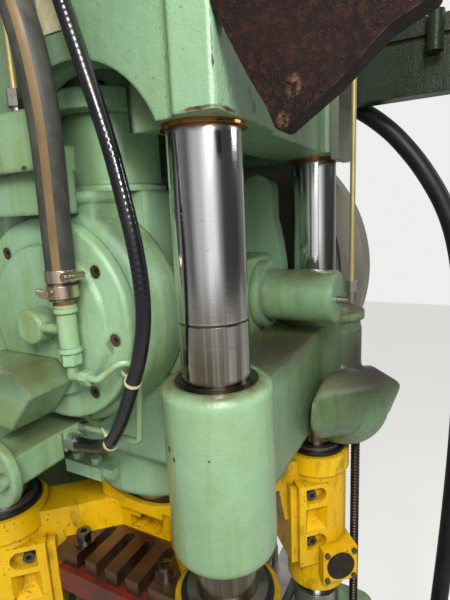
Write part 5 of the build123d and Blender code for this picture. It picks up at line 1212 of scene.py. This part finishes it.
# %% [markdown]
# ### The post and the flat back
# An upright post stands in the lobe, a plain cylinder. Both are cut off behind by one plane, where the
# web of the head covers them, and the cut is closed.

# %% The post and the flat back
POST_X, POST_Y, POST_FOOT, POST_TOP, POST_RADIUS = 0.214, -0.262, 1.225, 1.380, 0.0455
LOBE_BACK_Y = -0.264
post_middle = Matrix.Translation((POST_X, POST_Y, (POST_FOOT + POST_TOP) / 2))
bmesh.ops.create_cone(lobe_mesh, cap_ends=True, segments=48, radius1=POST_RADIUS, radius2=POST_RADIUS,
                      depth=POST_TOP - POST_FOOT, matrix=post_middle)
everything = lobe_mesh.verts[:] + lobe_mesh.edges[:] + lobe_mesh.faces[:]
cut = bmesh.ops.bisect_plane(lobe_mesh, geom=everything,
                             plane_co=(0, LOBE_BACK_Y, 0), plane_no=(0, 1, 0), clear_outer=True)
rim = [part for part in cut["geom_cut"] if isinstance(part, bmesh.types.BMEdge)]
bmesh.ops.holes_fill(lobe_mesh, edges=rim, sides=0)
print("the cut has", len(rim), "edges")

# %% [markdown]
# ### Cast fillets
# Lobe and post still meet in a sharp line. A voxel remesh joins the two in one skin, and smoothing
# leaves the large fillets that a sand casting has.

# %% Cast fillets
VOXEL, SMOOTH_TURNS = 0.0035, 14
head_lobe = new_piece("head_lobe", lobe_mesh, head_green, "frame")
joining = head_lobe.modifiers.new("joining", "REMESH")
joining.mode = "VOXEL"
joining.voxel_size = VOXEL
joining.use_smooth_shade = True
fillets = head_lobe.modifiers.new("fillets", "SMOOTH")
fillets.factor = 0.5
fillets.iterations = SMOOTH_TURNS

# %% [markdown]
# ## The stage
# A plain pale floor lies in a studio. Chrome only looks like chrome when the room has light and dark
# sides, so the world is brightest at the front left, where a wall of light would stand, dark straight in
# front and to the right, and pale again behind the machine on the right. The camera sees a plain pale
# background wherever it looks.

# %% The floor
PALE = (0.80, 0.80, 0.78, 1)
BLACK = (0, 0, 0, 1)
FLOOR_SHADE, FLOOR_LIGHT = (0.72, 0.71, 0.69, 1), (0.75, 0.74, 0.72, 1)
FLOOR_HALF = 7.0
floor_mesh = bmesh.new()
bmesh.ops.create_grid(floor_mesh, x_segments=2, y_segments=2, size=FLOOR_HALF)
floor_data = bpy.data.meshes.new("studio_floor")
floor_mesh.to_mesh(floor_data)
floor_mesh.free()
floor = into_scene("studio_floor", floor_data)
floor_finish, tree, shader = new_material("studio_floor_finish", Roughness=0.8, Emission_Strength=0.45)
floor_cloud = mask(tree, noise(tree, place(tree), 3.0, 3.0), 0.3, 0.7)
floor_seen = add(tree, "ShaderNodeLightPath").outputs["Is Camera Ray"]
wire(tree, shader, Base_Color=blend(tree, floor_cloud, FLOOR_SHADE, FLOOR_LIGHT),
     Emission_Color=blend(tree, floor_seen, BLACK, PALE))
floor_data.materials.append(floor_finish)
print("floor:", [round(v, 1) for v in floor.dimensions])

# %% [markdown]
# ### The world, by compass direction
# The compass angle of a direction is 0 towards the operator's left (-X) and grows towards the front
# (-Y). It is the arc tangent of the direction's two flat parts, stretched to run from 0 to 1.

# %% The compass angle of a ray
world = bpy.data.worlds.new("studio_world")
bpy.context.scene.world = world
world.use_nodes = True
tree = world.node_tree
look = parts(tree, add(tree, "ShaderNodeTexCoord").outputs["Generated"])
from_left = number(tree, "MULTIPLY", look["X"], -1.0)
from_front = number(tree, "MULTIPLY", look["Y"], -1.0)
compass = number(tree, "ARCTAN2", from_front, from_left)
turn_range = {"Value": compass, "From Min": -math.pi, "From Max": math.pi}
around = add(tree, "ShaderNodeMapRange", turn_range).outputs[0]
print("compass ready:", world.name)

# %% [markdown]
# ### The walls, the ceiling and the backdrop
# A colour ramp over the compass angle paints the walls of the studio, which is where the light and dark
# streaks of the chrome come from. A dim ceiling closes it above.

# %% The walls, the ceiling and the backdrop
# the compass angle in degrees and the tone of the wall there
WALL_TONES = [(-180, 0.45), (-150, 0.80), (-112, 0.75), (-92, 0.06), (-72, 0.20), (-48, 0.20),
              (-26, 0.10), (-6, 0.50), (14, 0.60), (28, 1.0), (48, 1.0), (62, 0.35), (78, 0.05),
              (128, 0.04), (152, 0.15), (180, 0.45)]
# how much of the blue a warm grey keeps
WARM_BLUE = 0.98
CEILING = (0.50, 0.50, 0.48, 1)
BACKDROP = (0.86, 0.86, 0.84, 1)

walls = add(tree, "ShaderNodeValToRGB", {"Fac": around})
ramp = walls.color_ramp.elements
for place_on_ramp, (angle, tone) in enumerate(WALL_TONES):
    stop = (angle + 180) / 360
    element = ramp[place_on_ramp] if place_on_ramp < 2 else ramp.new(stop)
    element.position = stop
    element.color = (tone, tone, tone * WARM_BLUE, 1)
overhead = mask(tree, look["Z"], 0.45, 0.85)
walls_and_ceiling = blend(tree, overhead, walls.outputs["Color"], CEILING)
seen = add(tree, "ShaderNodeLightPath").outputs["Is Camera Ray"]
background = tree.nodes["Background"]
wire(tree, background, Color=blend(tree, seen, walls_and_ceiling, BACKDROP))
background.inputs["Strength"].default_value = 1.0
print("world ready:", len(ramp), "tones")

# %% [markdown]
# ### The lamps
# Three square lamps stand over the machine: a large warm key lamp on the left, a small one close to the
# front column that makes the short highlights, and a weak one on the right that opens the shadows.


# %% The lamps
def area_lamp(name, at, towards, size, power, tone=(1, 1, 1)):
    data = bpy.data.lights.new(name, "AREA")
    data.shape = "SQUARE"
    data.size = size
    data.energy = power
    data.color = tone
    lamp = into_scene(name, data)
    aim = Vector(towards) - Vector(at)
    lamp.matrix_world = Matrix.Translation(at) @ aim.to_track_quat("-Z", "Y").to_matrix().to_4x4()
    lamp.visible_camera = False
    print("lamp:", name, power, "W")


area_lamp("key_lamp", at=(-1.35, -0.85, 2.65), towards=(-0.1, -0.1, 1.4), size=0.6, power=30,
          tone=(1.0, 0.98, 0.95))
area_lamp("near_lamp", at=(-0.62, -0.62, 1.85), towards=(-0.10, -0.15, 1.45), size=0.14, power=3.4)
area_lamp("right_lamp", at=(1.2, -1.9, 2.4), towards=(0.0, 0.0, 1.3), size=0.8, power=8)

# %% The view transform
bpy.context.scene.view_settings.view_transform = "Standard"
